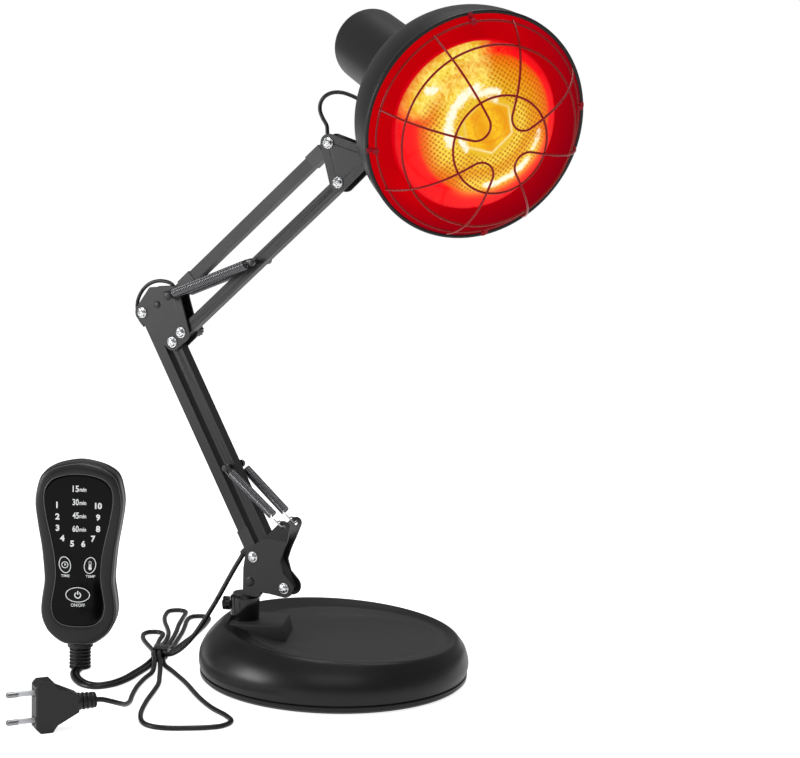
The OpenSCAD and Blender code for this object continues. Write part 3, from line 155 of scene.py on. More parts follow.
def skin(rows, loop_rows=False, caps=True):
    """Quads through rows of as many points each; the rows are closed loops."""
    n = len(rows[0])
    verts = [p for r in rows for p in r]
    faces = []
    for i in range(len(rows) if loop_rows else len(rows) - 1):
        a0, b0 = i * n, ((i + 1) % len(rows)) * n
        for k in range(n):
            q = (k + 1) % n
            faces.append((a0 + k, a0 + q, b0 + q, b0 + k))
    if caps and not loop_rows:
        faces.append(tuple(range(n - 1, -1, -1)))
        last = (len(rows) - 1) * n
        faces.append(tuple(last + k for k in range(n)))
    return verts, faces


def lathe(profile, n, closed=True):
    """A profile of (radius, height) turned about z. Radii of 0 become caps."""
    rows = []
    for r, z in profile:
        rows.append([(r * math.cos(math.tau * k / n), r * math.sin(math.tau * k / n), z)
                     for k in range(n)])
    return skin(rows, loop_rows=closed, caps=not closed)


def hermite(a, b, c, d, t):
    """Centripetal-looking curve between b and c."""
    return 0.5 * ((2 * b) + (c - a) * t + (2 * a - 5 * b + 4 * c - d) * t * t
                  + (3 * b - a - 3 * c + d) * t ** 3)


def curve(points, step, loop=False):
    """A smooth line through the points, with a point about every step."""
    p = [Vector(q) for q in points]
    n = len(p)
    out = []
    for i in range(n if loop else n - 1):
        if loop:
            a, b, c, d = p[(i - 1) % n], p[i], p[(i + 1) % n], p[(i + 2) % n]
        else:
            b, c = p[i], p[i + 1]
            a = p[i - 1] if i else b * 2 - c
            d = p[i + 2] if i + 2 < n else c * 2 - b
        m = max(1, round((c - b).length / step))
        for k in range(m):
            out.append(hermite(a, b, c, d, k / m))
    if not loop:
        out.append(p[-1])
    return out


def tube(points, radius, sides=12, loop=False, start=Vector((0.31, 0.17, 0.93)), caps=True):
    """A round tube along the points; radius is a number or a function of the share of the way."""
    n = len(points)
    rows = []
    normal = start
    for i in range(n):
        if loop:
            t = points[(i + 1) % n] - points[i - 1]
        else:
            t = points[min(i + 1, n - 1)] - points[max(i - 1, 0)]
        t.normalize()
        normal = (normal - t * normal.dot(t)).normalized()
        other = t.cross(normal)
        r = radius(i / (n - 1)) if callable(radius) else radius
        rows.append([points[i] + r * (math.cos(math.tau * k / sides) * normal
                                      + math.sin(math.tau * k / sides) * other)
                     for k in range(sides)])
    return skin(rows, loop_rows=loop, caps=caps)


def joined(*parts):
    verts, faces = [], []
    for v, f in parts:
        o = len(verts)
        verts += list(v)
        faces += [tuple(i + o for i in q) for q in f]
    return verts, faces


def baked(ob):
    """Applies the modifiers of a new piece to its mesh."""
    deps = bpy.context.evaluated_depsgraph_get()
    me = bpy.data.meshes.new_from_object(ob.evaluated_get(deps))
    old = ob.data
    ob.modifiers.clear()
    ob.data = me
    bpy.data.meshes.remove(old)
    return ob


def bevel(ob, width, segments=3, angle=30, weld=False):
    """Rounded edges, as a modifier."""
    if weld:
        w = ob.modifiers.new("weld", 'WELD')
        w.merge_threshold = 0.000002
    b = ob.modifiers.new("edges", 'BEVEL')
    b.width = width * MM
    b.segments = segments
    b.limit_method = 'ANGLE'
    b.angle_limit = math.radians(angle)
    b.harden_normals = False
    return ob


def rounded_copy(name, source, voxel, passes, mats):
    """A CAD solid made again with soft edges: voxels, then smoothing."""
    ob = bpy.data.objects.new(name, node[source].data.copy())
    scene.collection.objects.link(ob)
    ob.data.materials.clear()
    for m in mats:
        ob.data.materials.append(m)
    w = ob.modifiers.new("weld", 'WELD')
    w.merge_threshold = 0.000002
    r = ob.modifiers.new("voxels", 'REMESH')
    r.mode = 'VOXEL'
    r.voxel_size = voxel * MM
    r.use_smooth_shade = True
    s = ob.modifiers.new("soften", 'SMOOTH')
    s.factor = 0.5
    s.iterations = passes
    baked(ob)
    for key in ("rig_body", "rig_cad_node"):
        if key in ob:
            del ob[key]
    ob.data.polygons.foreach_set("use_smooth", [True] * len(ob.data.polygons))
    return ob


# ---- Materials ----
class Nodes:
    """A material's nodes, with short calls for the ones used here."""

    def __init__(self, name):
        self.mat = bpy.data.materials.new(name)
        self.mat.use_nodes = True
        self.tree = self.mat.node_tree
        self.tree.nodes.clear()
        self.out = self.add('ShaderNodeOutputMaterial')
        self.shader = self.add('ShaderNodeBsdfPrincipled')
        self.join(self.shader.outputs[0], self.out.inputs['Surface'])
        self.where = self.add('ShaderNodeTexCoord').outputs['Object']

    def add(self, kind, **values):
        n = self.tree.nodes.new(kind)
        for k, v in values.items():
            setattr(n, k, v)
        return n

    def join(self, a, b):
        self.tree.links.new(a, b)

    def set(self, **values):
        for k, v in values.items():
            self.shader.inputs[k.replace('_', ' ')].default_value = v

    def noise(self, scale, detail=3.0, rough=0.55, source=None, distortion=0.0):
        n = self.add('ShaderNodeTexNoise')
        n.inputs['Scale'].default_value = scale
        n.inputs['Detail'].default_value = detail
        n.inputs['Roughness'].default_value = rough
        n.inputs['Distortion'].default_value = distortion
        self.join(source or self.where, n.inputs['Vector'])
        return n.outputs['Fac']

    def spread(self, value, a, b, c, d):
        n = self.add('ShaderNodeMapRange')
        for i, v in zip((1, 2, 3, 4), (a, b, c, d)):
            n.inputs[i].default_value = v
        self.join(value, n.inputs[0])
        return n.outputs[0]

    def math(self, kind, a, b=None):
        n = self.add('ShaderNodeMath', operation=kind)
        for i, v in enumerate((a, b)):
            if v is None:
                continue
            if isinstance(v, (int, float)):
                n.inputs[i].default_value = v
            else:
                self.join(v, n.inputs[i])
        return n.outputs[0]

    def mix(self, share, a, b):
        n = self.add('ShaderNodeMix', data_type='RGBA')
        for i, v in ((0, share), (6, a), (7, b)):
            if isinstance(v, (int, float)):
                n.inputs[i].default_value = v
            elif isinstance(v, tuple):
                n.inputs[i].default_value = (*v, 1)
            else:
                self.join(v, n.inputs[i])
        return n.outputs[2]

    def bump(self, height, strength, distance):
        n = self.add('ShaderNodeBump')
        n.inputs['Strength'].default_value = strength
        n.inputs['Distance'].default_value = distance * MM
        self.join(height, n.inputs['Height'])
        return n.outputs[0]


def shades(colour, share):
    return tuple(c * (1 - share) for c in colour), tuple(min(1, c * (1 + share)) for c in colour)


def finish(name, colour, rough, metal=0.0, grain=1800, relief=0.12, depth=0.06, vary=0.06,
           tint=0.12, spec=0.5, coat=0.0, coat_rough=0.15, patch=45, ior=None):
    """Painted, moulded or bare metal surface: fine grain in the bump, patches in the gloss."""
    m = Nodes(name)
    low, high = shades(colour, tint)
    fine = m.noise(grain, 4)
    broad = m.noise(patch, 3)
    m.join(m.mix(broad, low, high), m.shader.inputs['Base Color'])
    both = m.math('ADD', m.math('MULTIPLY', fine, 0.5), m.math('MULTIPLY', broad, 0.5))
    m.join(m.spread(both, 0.3, 0.7, max(0.02, rough - vary), rough + vary),
           m.shader.inputs['Roughness'])
    m.join(m.bump(fine, relief, depth), m.shader.inputs['Normal'])
    m.set(Metallic=metal, Specular_IOR_Level=spec, Coat_Weight=coat, Coat_Roughness=coat_rough)
    if ior:
        m.set(IOR=ior)
    return m.mat


def brushed(name, colour, rough, scale, stretch, metal=1.0, relief=0.2, spec=0.5):
    """Metal with fine lines along one way."""
    m = Nodes(name)
    mapping = m.add('ShaderNodeMapping')
    mapping.inputs['Scale'].default_value = stretch
    m.join(m.where, mapping.inputs['Vector'])
    lines = m.noise(scale, 5, 0.6, mapping.outputs[0])
    low, high = shades(colour, 0.1)
    m.join(m.mix(lines, low, high), m.shader.inputs['Base Color'])
    m.join(m.spread(lines, 0.3, 0.7, rough - 0.06, rough + 0.06), m.shader.inputs['Roughness'])
    m.join(m.bump(lines, relief, 0.02), m.shader.inputs['Normal'])
    m.set(Metallic=metal, Specular_IOR_Level=spec)
    return m.mat


MAT = {
    "base_black": finish("base_black", (0.006, 0.006, 0.0065), 0.34, grain=2600, relief=0.08,
                         depth=0.03, vary=0.04, spec=0.36),
    # Rougher black for the tray and the post block, lightened in colour as painted light falling from
    # above on them
    "tray_black_painted_toplight": finish("tray_black_painted_toplight", (0.034, 0.034, 0.035), 0.52, grain=2200, relief=0.16,
                         depth=0.05, vary=0.05, spec=0.34),
    "moulded_black": finish("moulded_black", (0.011, 0.011, 0.0115), 0.38, grain=2400,
                            relief=0.12, depth=0.04, spec=0.38),
    "gloss_black": finish("gloss_black", (0.006, 0.006, 0.007), 0.16, grain=900, relief=0.04,
                          depth=0.02, vary=0.04, spec=0.5),
    "panel_black": finish("panel_black", (0.0015, 0.0015, 0.0018), 0.1, grain=700, relief=0.01,
                          depth=0.01, vary=0.03, spec=0.12),
    "ballast_iron": finish("ballast_iron", (0.2, 0.2, 0.21), 0.6, metal=0.8, grain=700,
                           relief=0.5, depth=0.2),
    "foam_pad": finish("foam_pad", (0.02, 0.02, 0.02), 0.9, grain=1500, relief=0.8, depth=0.2,
                       spec=0.2),
    "zinc": brushed("zinc", (0.55, 0.55, 0.57), 0.32, 900, (1, 1, 4)),
    "bright_screw": brushed("bright_screw", (0.78, 0.79, 0.8), 0.16, 1500, (1, 3, 1)),
    "arm_black": finish("arm_black", (0.012, 0.012, 0.0125), 0.4, grain=2200, relief=0.22,
                        depth=0.05, vary=0.06, spec=0.4),
    "spring_steel": finish("spring_steel", (0.2, 0.2, 0.21), 0.2, metal=1.0, grain=1500,
                           relief=0.03, depth=0.02, vary=0.05),
    "hook_steel": brushed("hook_steel", (0.75, 0.75, 0.77), 0.22, 1800, (1, 1, 3)),
    "pin_black": finish("pin_black", (0.018, 0.018, 0.019), 0.34, grain=1800, relief=0.15,
                        depth=0.04),
    "sleeve_black": finish("sleeve_black", (0.01, 0.01, 0.011), 0.4, grain=2600, relief=0.12,
                           depth=0.03),
    "cord_black": finish("cord_black", (0.007, 0.007, 0.0075), 0.34, grain=1900, relief=0.12,
                         depth=0.05, spec=0.42),
    "board_green": finish("board_green", (0.02, 0.12, 0.045), 0.4, grain=900),
    "shade_black": finish("shade_black", (0.008, 0.008, 0.0085), 0.36, grain=2600, relief=0.1,
                          depth=0.03, vary=0.04, spec=0.36),
    "ceramic": finish("ceramic", (0.72, 0.69, 0.62), 0.3, grain=800, relief=0.1),
    "lamp_cap": brushed("lamp_cap", (0.7, 0.6, 0.38), 0.3, 900, (1, 1, 5)),
    "light_sleeve": finish("light_sleeve", (0.62, 0.63, 0.66), 0.36, grain=1600, relief=0.12),
    "pin_tip": brushed("pin_tip", (0.3, 0.3, 0.31), 0.24, 1500, (4, 1, 1)),
    "key_black": finish("key_black", (0.003, 0.003, 0.0035), 0.2, grain=1200, relief=0.04,
                        depth=0.02, spec=0.16),
    # Lighter grey of the handset's edge lines: painted highlight
    "edge_line_painted_highlight": finish("edge_line_painted_highlight", (0.1, 0.1, 0.105), 0.3, grain=1500, relief=0.05, depth=0.02),
    "print_white": finish("print_white", (0.86, 0.87, 0.88), 0.5, grain=3000, relief=0.1,
                          tint=0.03),
}


def guard_wire_with_painted_glow():
    """Dark red wire, with a painted red glow in its emission that stands in for the bulb's light on
    the wires.
    """
    m = Nodes("guard_wire")
    fine = m.noise(1500, 3)
    broad = m.noise(70, 2)
    m.join(m.mix(broad, (0.12, 0.002, 0.003), (0.2, 0.004, 0.005)), m.shader.inputs['Base Color'])
    m.join(m.spread(fine, 0.3, 0.7, 0.14, 0.22), m.shader.inputs['Roughness'])
    m.join(m.bump(broad, 0.02, 0.02), m.shader.inputs['Normal'])
    # Painted light: the emission is the bulb's red light on the wires
    m.set(Specular_IOR_Level=0.22, Emission_Color=(0.2, 0.002, 0.002, 1), Emission_Strength=0.45)
    return m.mat


def shade_lining_with_painted_glow():
    """Inside of the shade: dark red with turning lines, and a painted red glow in its emission that
    stands in for the bulb's light, brighter towards the bulb, in patches.
    """
    m = Nodes("shade_lining_painted_glow")
    m.where = m.add('ShaderNodeAttribute', attribute_name="place").outputs['Vector']
    split = m.add('ShaderNodeSeparateXYZ')
    m.join(m.where, split.inputs[0])
    depth = m.spread(split.outputs[2], -0.045, 0.0, 0.0, 1.0)
    radius = m.math('SQRT', m.math('ADD', m.math('POWER', split.outputs[0], 2.0),
                                   m.math('POWER', split.outputs[1], 2.0)))
    rings = m.add('ShaderNodeTexNoise')
    rings.inputs['Scale'].default_value = 900
    rings.inputs['Detail'].default_value = 3
    both = m.add('ShaderNodeCombineXYZ')
    m.join(split.outputs[2], both.inputs[0])
    m.join(radius, both.inputs[1])
    m.join(both.outputs[0], rings.inputs['Vector'])
    broad = m.noise(28, 3)
    # Painted light: the bulb's red glow on the inside, strong deep in the shade and weak at the rim,
    # with paler patches
    glow = m.mix(depth, (0.85, 0.0, 0.004), (0.2, 0.0, 0.01))
    glow = m.mix(m.spread(broad, 0.3, 0.7, 0.0, 0.35), glow, (0.36, 0.0, 0.006))
    m.join(glow, m.shader.inputs['Emission Color'])
    m.join(m.mix(rings.outputs['Fac'], (0.1, 0.001, 0.002), (0.14, 0.002, 0.004)),
           m.shader.inputs['Base Color'])
    m.join(m.spread(rings.outputs['Fac'], 0.3, 0.7, 0.22, 0.4), m.shader.inputs['Roughness'])
    m.join(m.bump(rings.outputs['Fac'], 0.2, 0.05), m.shader.inputs['Normal'])
    m.set(Emission_Strength=0.62, Specular_IOR_Level=0.2)
    return m.mat


def bulb_finish():
    """Lit glass: the glow comes from the mesh's own values, the dimples and crinkles from nodes."""
    m = Nodes("ruby_glass")
    m.where = m.add('ShaderNodeAttribute', attribute_name="place").outputs['Vector']
    glow = m.add('ShaderNodeAttribute', attribute_name="glow")
    dimple = m.add('ShaderNodeAttribute', attribute_name="dimple")
    cells = m.add('ShaderNodeTexVoronoi', feature='F1', voronoi_dimensions='2D')
    cells.inputs['Scale'].default_value = 1 / 0.0027
    cells.inputs['Randomness'].default_value = 0.12
    mapping = m.add('ShaderNodeMapping')
    mapping.inputs['Rotation'].default_value = (0, 0, 0.5)
    m.join(m.where, mapping.inputs['Vector'])
    m.join(mapping.outputs[0], cells.inputs['Vector'])
    spot = m.spread(cells.outputs['Distance'], 0.24, 0.46, 1.0, 0.0)
    crinkle = m.noise(150, 5, 0.62, distortion=1.6)
    fold = m.spread(crinkle, 0.38, 0.6, 0.0, 1.0)
    share = m.add('ShaderNodeSeparateColor')
    m.join(dimple.outputs['Color'], share.inputs[0])
    dark = m.math('MULTIPLY', spot, share.outputs[0])
    lines = m.noise(95, 4, 0.6, distortion=2.4)
    line = m.spread(m.math('ABSOLUTE', m.math('SUBTRACT', lines, 0.5)), 0.0, 0.035, 1.0, 0.0)
    colour = m.mix(m.math('MULTIPLY', line, share.outputs[2]), glow.outputs['Color'],
                   (0.8, 0.3, 0.0))
    colour = m.mix(m.math('MULTIPLY', dark, 0.8), colour, (0.5, 0.11, 0.0))
    # Streaks of pale gold, where the second share is the place for them
    streak = m.math('MULTIPLY', fold, share.outputs[1])
    colour = m.mix(streak, colour, (1.0, 0.9, 0.2))
    # White heat, its edge broken by the folds of the glass
    edge = m.math('ADD', dimple.outputs['Alpha'],
                  m.math('MULTIPLY', m.math('SUBTRACT', crinkle, 0.5), 1.5))
    colour = m.mix(m.spread(edge, 0.5, 0.9, 0.0, 1.0), colour, (1.0, 1.0, 0.78))
    m.join(colour, m.shader.inputs['Emission Color'])
    m.join(m.mix(fold, (0.06, 0.001, 0.001), (0.1, 0.004, 0.002)), m.shader.inputs['Base Color'])
    height = m.math('SUBTRACT', m.math('MULTIPLY', crinkle, 0.3), dark)
    m.join(m.bump(height, 0.35, 0.4), m.shader.inputs['Normal'])
    m.join(m.spread(crinkle, 0.3, 0.7, 0.1, 0.2), m.shader.inputs['Roughness'])
    m.set(Emission_Strength=1.0, Specular_IOR_Level=0.15)
    return m.mat


MAT["guard_wire"] = guard_wire_with_painted_glow()
MAT["shade_lining_painted_glow"] = shade_lining_with_painted_glow()
MAT["ruby_glass"] = bulb_finish()

SLOTS = {
    "base_black": ("base_shell", "base_cover"),
    "ballast_iron": ("base_weight",),
    "foam_pad": ("base_pad",),
    "zinc": ("base_screws", "collar_screws", "handset_screws", "elbow_spacer", "tilt_knuckle"),
    "gloss_black": ("socket_collar", "clamp_knob", "elbow_knob"),
    "moulded_black": ("handset_front", "handset_back", "handset_relief", "plug_body"),
    "panel_black": ("handset_panel",),
    "board_green": ("handset_board",),
    "cord_black": ("mains_cord", "lamp_cord", "elbow_lead", "head_lead"),
    "sleeve_black": ("cord_tie", "rear_bar_gland", "top_bar_sleeves"),
    "pin_tip": ("plug_pins",),
    "light_sleeve": ("plug_sleeves",),
    "key_black": ("time_button", "temp_button", "power_button"),
    "arm_black": ("swivel_post", "bracket_near", "bracket_far", "rear_bar", "front_bar",
                  "elbow_plate_near", "elbow_plate_far", "arm_low_bar", "arm_top_bar",
                  "head_plate_near", "head_plate_far", "head_strap"),
    "bright_screw": ("bracket_screws", "elbow_screws", "head_screws", "strap_screws"),
    "pin_black": ("lower_spring_pin", "upper_spring_pin"),
    "spring_steel": ("lower_spring_near", "lower_spring_far", "upper_spring_near",
                     "upper_spring_far"),
    "shade_black": ("cup", "shade"),
    "ceramic": ("lamp_holder",),
    "ruby_glass": ("bulb_glass",),
    "lamp_cap": ("bulb_cap",),
    "guard_wire": ("guard",),
    # The guard's clips take the shade's lining, with its painted red glow, so that they blend into the
    # rim
    "shade_lining_painted_glow": ("guard_clips",),
}
for slot_name, names in SLOTS.items():
    for n in names:
        data = node[n].data
        data.materials.clear()
        data.materials.append(MAT[slot_name])


def piece(ob, body, slot, *replaced):
    """Rides with its body and stands for the CAD nodes named. The slot is not used."""
    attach(ob, body)
    if replaced:
        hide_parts(*replaced)
    return ob


# ---- Cords ----
MAINS = [
    (-145, -145.7, 17.6), (-141, -143, 17), (-136.5, -138, 14.5), (-133, -129, 10.5),
    (-131.5, -115, 5.5), (-132, -99, 2.5), (-134, -81, 1.8), (-135, -61, 1.8),
    (-134, -41, 1.8), (-132, -25, 1.8), (-132.5, -15, 3.4), (-134, -6, 6.2),
    (-136.5, 2, 7.2), (-138.2, 10, 6.9), (-138.2, 17, 6.6), (-138.2, 22, 6.6),
    (-140.2, 30, 5.6), (-142.2, 39, 3.6), (-143.5, 51, 1.9), (-144.5, 63, 1.8),
    (-144.8, 76.5, 1.8), (-147, 82.4, 1.8), (-152.4, 84.7, 1.8), (-157.8, 82.4, 1.8),
    (-160, 76.5, 1.8), (-159, 68, 1.8), (-156, 59, 1.8), (-151, 48, 1.8),
    (-146, 38, 1.8), (-142, 29, 2.1), (-138.4, 22, 2.9), (-138.2, 13, 2.9),
    (-138.6, 3, 2.6), (-141, -11, 1.9), (-144.8, -27, 1.8), (-149, -43, 1.8),
    (-155.4, -55.4, 1.8), (-163.4, -61.8, 1.8), (-172, -59.3, 1.8), (-179.6, -50, 1.8),
    (-184.4, -39, 1.8), (-185.5, -31, 1.8), (-185.3, -26.6, 1.8)]
LAMP = [
    (-189.2, -27, 1.8), (-189.1, -32, 1.8), (-187.6, -40.5, 1.8), (-182.6, -53.2, 1.8),
    (-174.5, -64, 1.8), (-163.5, -67.4, 1.8), (-152.2, -59, 1.8), (-145.3, -45, 1.8),
    (-140.9, -28, 1.8), (-137.2, -11, 1.9), (-134.9, 3, 2.6), (-134.5, 13, 2.9),
    (-134.5, 21, 2.9), (-134.6, 33, 2), (-134.8, 49, 1.8), (-135.3, 69, 1.8),
    (-136.5, 89, 1.8), (-138.5, 109, 1.8), (-139.4, 129, 1.8), (-140, 145.5, 1.8),
    (-142.2, 151.2, 1.8), (-147.6, 153.5, 1.8), (-153, 151.2, 1.8), (-155.2, 145.5, 1.8),
    (-154.2, 129, 1.8), (-150.5, 113, 1.8), (-146, 99, 1.8), (-142, 85, 1.8),
    (-139.8, 71, 1.8), (-139, 55, 1.8), (-138.4, 41, 3.6), (-136.2, 31, 5.6),
    (-134.5, 22, 6.6), (-134.5, 17, 6.6), (-134.2, 10, 6.8), (-132.2, 2, 6.4),
    (-129.5, -7, 4.2), (-127, -19, 2.2), (-124.5, -33, 1.8), (-121.5, -51, 1.8),
    (-121, -71, 1.8), (-121, -96, 1.8), (-119, -122, 1.8), (-114, -140, 1.8),
    (-106, -148, 1.8), (-94, -150, 1.8), (-80, -147.5, 1.8), (-68, -144, 1.8),
    (-59, -138.5, 1.8), (-55, -128, 1.8), (-61, -116, 1.8), (-74, -100, 1.8),
    (-87, -78, 1.8), (-102, -47, 1.8), (-112, -29, 1.8), (-119, -17, 1.8),
    (-126, -6, 2), (-129.6, 4, 2.7), (-130.8, 13, 2.9), (-130.8, 21, 2.9),
    (-128.2, 33, 2), (-126.9, 41, 1.8), (-125, 54, 1.8), (-121, 79, 1.8),
    (-118.5, 104, 1.8), (-117.8, 119, 1.8), (-117.9, 130.2, 1.8), (-120.3, 136.1, 1.8),
    (-126.1, 138.5, 1.8), (-131.9, 136.1, 1.8), (-134.3, 130.2, 1.8), (-134.3, 119, 1.8),
    (-133, 107, 1.8), (-131.5, 89, 1.8), (-130.8, 69, 1.8), (-130.5, 55, 1.8),
    (-130.5, 49, 1.9), (-130.7, 41, 3), (-130.9, 33, 5), (-130.8, 27, 6.2),
    (-130.8, 21, 6.6), (-130.8, 17, 6.6), (-130.5, 11.4, 6.8), (-127.4, 4, 7.9),
    (-122.23, -1.1, 9.69), (-116.77, -2.42, 12.92), (-111.47, -2.21, 17.65),
    (-105.82, -0.98, 24.38), (-99.82, 0.29, 33.62), (-93.97, 1.1, 43.35),
    (-88.27, 1.64, 53.58), (-82.23, 1.84, 65.31), (-75.83, 1.79, 77.54),
    (-71.09, 1.22, 85.77), (-70, 0.9, 88.1)]
ELBOW_LEAD = [(-2.1, -10.6), (-5.6, -7.2), (-8, -3), (-9.1, 2), (-8.7, 7.6), (-6.2, 13.4),
              (-1.9, 18.6), (3.6, 22.2), (9.6, 23.9), (15.6, 24), (20.4, 23), (22.6, 21.4),
              (23, 20.1)]
HEAD_LEAD = [(-4.1, 3.3, 0), (-4.6, 7.6, 0), (-5.2, 12, 0), (-8.4, 16.8, 0), (-10.8, 22, 0),
             (-10.6, 27.4, 0), (-7.4, 32.2, -0.3), (-1.8, 35, -1.5), (4.4, 35.2, -4),
             (10.4, 33.2, -7.2), (16.4, 30.4, -9.6), (23, 28.2, -10.8), (29.6, 27.6, -12),
             (34.4, 28.3, -14.6), (37.4, 28.9, -17.1)]


def lead(name, line, diameter, sides=16):
    """A cord as a tube along a line in the row frame, in millimetres."""
    v, f = tube(line, diameter / 2, sides)
    return make(name, v, f, [MAT["cord_black"]])


def declare(line, exit_at=0):
    path = [p * MM for p in line]
    if exit_at:
        path.reverse()


mains_line = curve(MAINS, 1.6)
mains = lead("mains_lead", mains_line, CORD_D)
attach(mains, "root")
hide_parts("mains_cord")

split_at = LAMP.index((-88.27, 1.64, 53.58))
whole = curve(LAMP, 1.6)
cut = min(range(len(whole)), key=lambda i: (whole[i] - Vector(LAMP[split_at])).length)
lamp_line, stub_line = whole[:cut + 1], whole[cut:]
lamp = lead("lamp_lead", lamp_line, CORD_D)
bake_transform(lamp)
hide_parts("lamp_cord")
stub = lead("lamp_lead_top", stub_line, CORD_D)
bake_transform(stub)
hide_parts("lamp_cord")

elbow_line = [ARM @ (ELBOW + Vector((x, y, 0))) for x, y in ELBOW_LEAD]
elbow_line = curve(elbow_line, 0.9)
half = len(elbow_line) // 2 - 1
elbow_a = lead("elbow_lead_low", elbow_line[:half + 1], LEAD_D)
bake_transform(elbow_a)
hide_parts("elbow_lead")
elbow_b = lead("elbow_lead_top", elbow_line[half:], LEAD_D)
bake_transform(elbow_b)
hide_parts("elbow_lead")

head_line = [ARM @ (TOP_END + Vector(p)) for p in HEAD_LEAD]
head_line = curve(head_line, 0.9)
mid = int(len(head_line) * 0.5)
head_a = lead("head_lead_low", head_line[:mid + 1], LEAD_D)
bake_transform(head_a)
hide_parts("head_lead")
head_b = lead("head_lead_top", head_line[mid:], LEAD_D)
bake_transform(head_b)
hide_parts("head_lead")

# ---- Base ----
outer_rows = [
    (0, SEAM_Z, BASE_D / 2 - 2.6, 0), (0, SEAM_Z + 0.5, BASE_D / 2 - 1.5, 0),
    (0, SEAM_Z + 2.2, BASE_D / 2 - 0.8, 0), (0, BASE_H * 0.36, BASE_D / 2, 0),
    (0, BASE_H * 0.54, BASE_D / 2 - 0.9, RIM_SLOPE * 0.2),
    (RIM_X * 0.3, BASE_H * 0.725, BASE_D / 2 - 4, RIM_SLOPE * 0.5),
    (RIM_X * 0.7, BASE_H * 0.88, RIM_D / 2 + 6, RIM_SLOPE * 0.85),
    (RIM_X * 0.95, BASE_H * 0.977, RIM_D / 2 + 2.4, RIM_SLOPE),
    (RIM_X, BASE_H, RIM_D / 2, RIM_SLOPE),
    (RIM_X + 0.4, BASE_H - 0.8, RIM_D / 2 - 2.8, RIM_SLOPE),
    (RIM_X + 4.4, BASE_H - 3.0, RIM_D / 2 - 9.5, RIM_SLOPE * 0.8),
    (TRAY_X - 4.6, TRAY_Z + 2.3, TRAY_D / 2 + 8.4, RIM_SLOPE * 0.4),
    (TRAY_X - 1.6, TRAY_Z + 0.75, TRAY_D / 2 + 3.2, RIM_SLOPE * 0.15),
    (TRAY_X, TRAY_Z, TRAY_D / 2 - 1, 0)]


def base_ring(q, n=192):
    c, z, r, slope = q
    fall = math.tan(math.radians(slope))
    return [(c + r * math.cos(math.tau * k / n), r * math.sin(math.tau * k / n),
             z - r * math.cos(math.tau * k / n) * fall) for k in range(n)]


def eased(rows, m):
    """Rows of numbers, filled in on a smooth curve."""
    out = []
    n = len(rows)
    for i in range(n - 1):
        b, c = rows[i], rows[i + 1]
        a = rows[i - 1] if i else b
        d = rows[i + 2] if i + 2 < n else c
        for k in range(m):
            out.append(tuple(hermite(*q, k / m) for q in zip(a, b, c, d)))
    out.append(rows[-1])
    return out


dish = eased(outer_rows, 5)
rings = [base_ring(q) for q in dish]
rings.insert(0, base_ring((0, SEAM_Z, BASE_D / 2 - 5.5, 0)))
rings += [base_ring((TRAY_X, TRAY_Z - 0.02, r, 0)) for r in (TRAY_D / 2 - 4, TRAY_D / 3, TRAY_D / 8)]
v, f = skin(rings)
tray_from = (len(dish) - 14) * 192
slots = [1 if i >= tray_from and i < len(f) - 2 else 0 for i in range(len(f))]
slots[-1] = 1
shell = make("base_shell_skin", v, f, [MAT["base_black"], MAT["tray_black_painted_toplight"]], slots=slots)
piece(shell, "root", "base_black", "base_shell")

back = RIM_X - RIM_D / 2 + 5
foot = TRAY_Z - 1.2
side = [(back, foot), (BLOCK_FRONT, foot), (BLOCK_FRONT - BLOCK_SLANT, BLOCK_Z), (back, BLOCK_Z)]
w = BLOCK_W / 2
rows = [[(x, -w, z) for x, z in side], [(x, w, z) for x, z in side]]
v, f = skin(rows)
block = make("post_block", v, f, [MAT["tray_black_painted_toplight"]], smooth=True)
bevel(block, 0.9, 3)
baked(block)
piece(block, "root", "base_black", "base_shell")

# ---- Black heads among the bright ones ----
for n, spots in (("elbow_screws", (TOP_ROOT, ELBOW + Vector((11, 8, 0)))),
                 ("bracket_screws", (LOWER_ROOT + Vector((0, -20, 0)),))):
    data = node[n].data
    data.materials.append(MAT["arm_black"])
    inverse = ARM.inverted()
    for f in data.polygons:
        q = inverse @ (f.center / MM)
        if any(math.hypot(q.x - p.x, q.y - p.y) < 7 for p in spots):
            f.material_index = 1

# ---- Edges of the CAD pieces that stay ----
for n in ("bracket_near", "bracket_far", "elbow_plate_near", "elbow_plate_far",
          "head_plate_near", "head_plate_far", "head_strap"):
    bevel(node[n], 0.22, 2, 40, weld=True)
for n in ("rear_bar", "front_bar", "arm_low_bar", "arm_top_bar"):
    bevel(node[n], 0.5, 2, 40, weld=True)
for n in ("rear_bar_gland", "top_bar_sleeves", "socket_collar", "clamp_knob", "elbow_knob",
          "guard_clips", "swivel_post", "plug_sleeves", "tilt_knuckle"):
    bevel(node[n], 0.2, 2, 40, weld=True)

# ---- Springs ----
def spring_line(length, ea, pa, eb, la, turns, coil_r, lead_in=5.5, per_turn=14):
    """Eye, coils and eye along x. The first eye lies in x and a turned y, the last in x and y."""
    def around(angle):
        return Vector((0, math.cos(angle), math.sin(angle)))

    pa = math.radians(pa)
    sweep = turns * math.tau - pa
    pts = []
    for k in range(8):
        q = math.radians(380 - k * 290 / 8)
        pts.append(ea * (math.cos(q) * Vector((1, 0, 0)) + math.sin(q) * around(pa)))
    pts.append(ea * around(pa))
    steps = round(turns * per_turn)
    for k in range(steps + 1):
        u = k / steps
        pts.append(Vector((la + u * (length - la - lead_in), 0, 0)) + coil_r * around(pa + u * sweep))
    pts.append(Vector((length, eb, 0)))
    for k in range(1, 9):
        q = math.radians(90 - k * 290 / 8)
        pts.append(Vector((length, 0, 0)) + eb * Vector((math.cos(q), math.sin(q), 0)))
    return pts


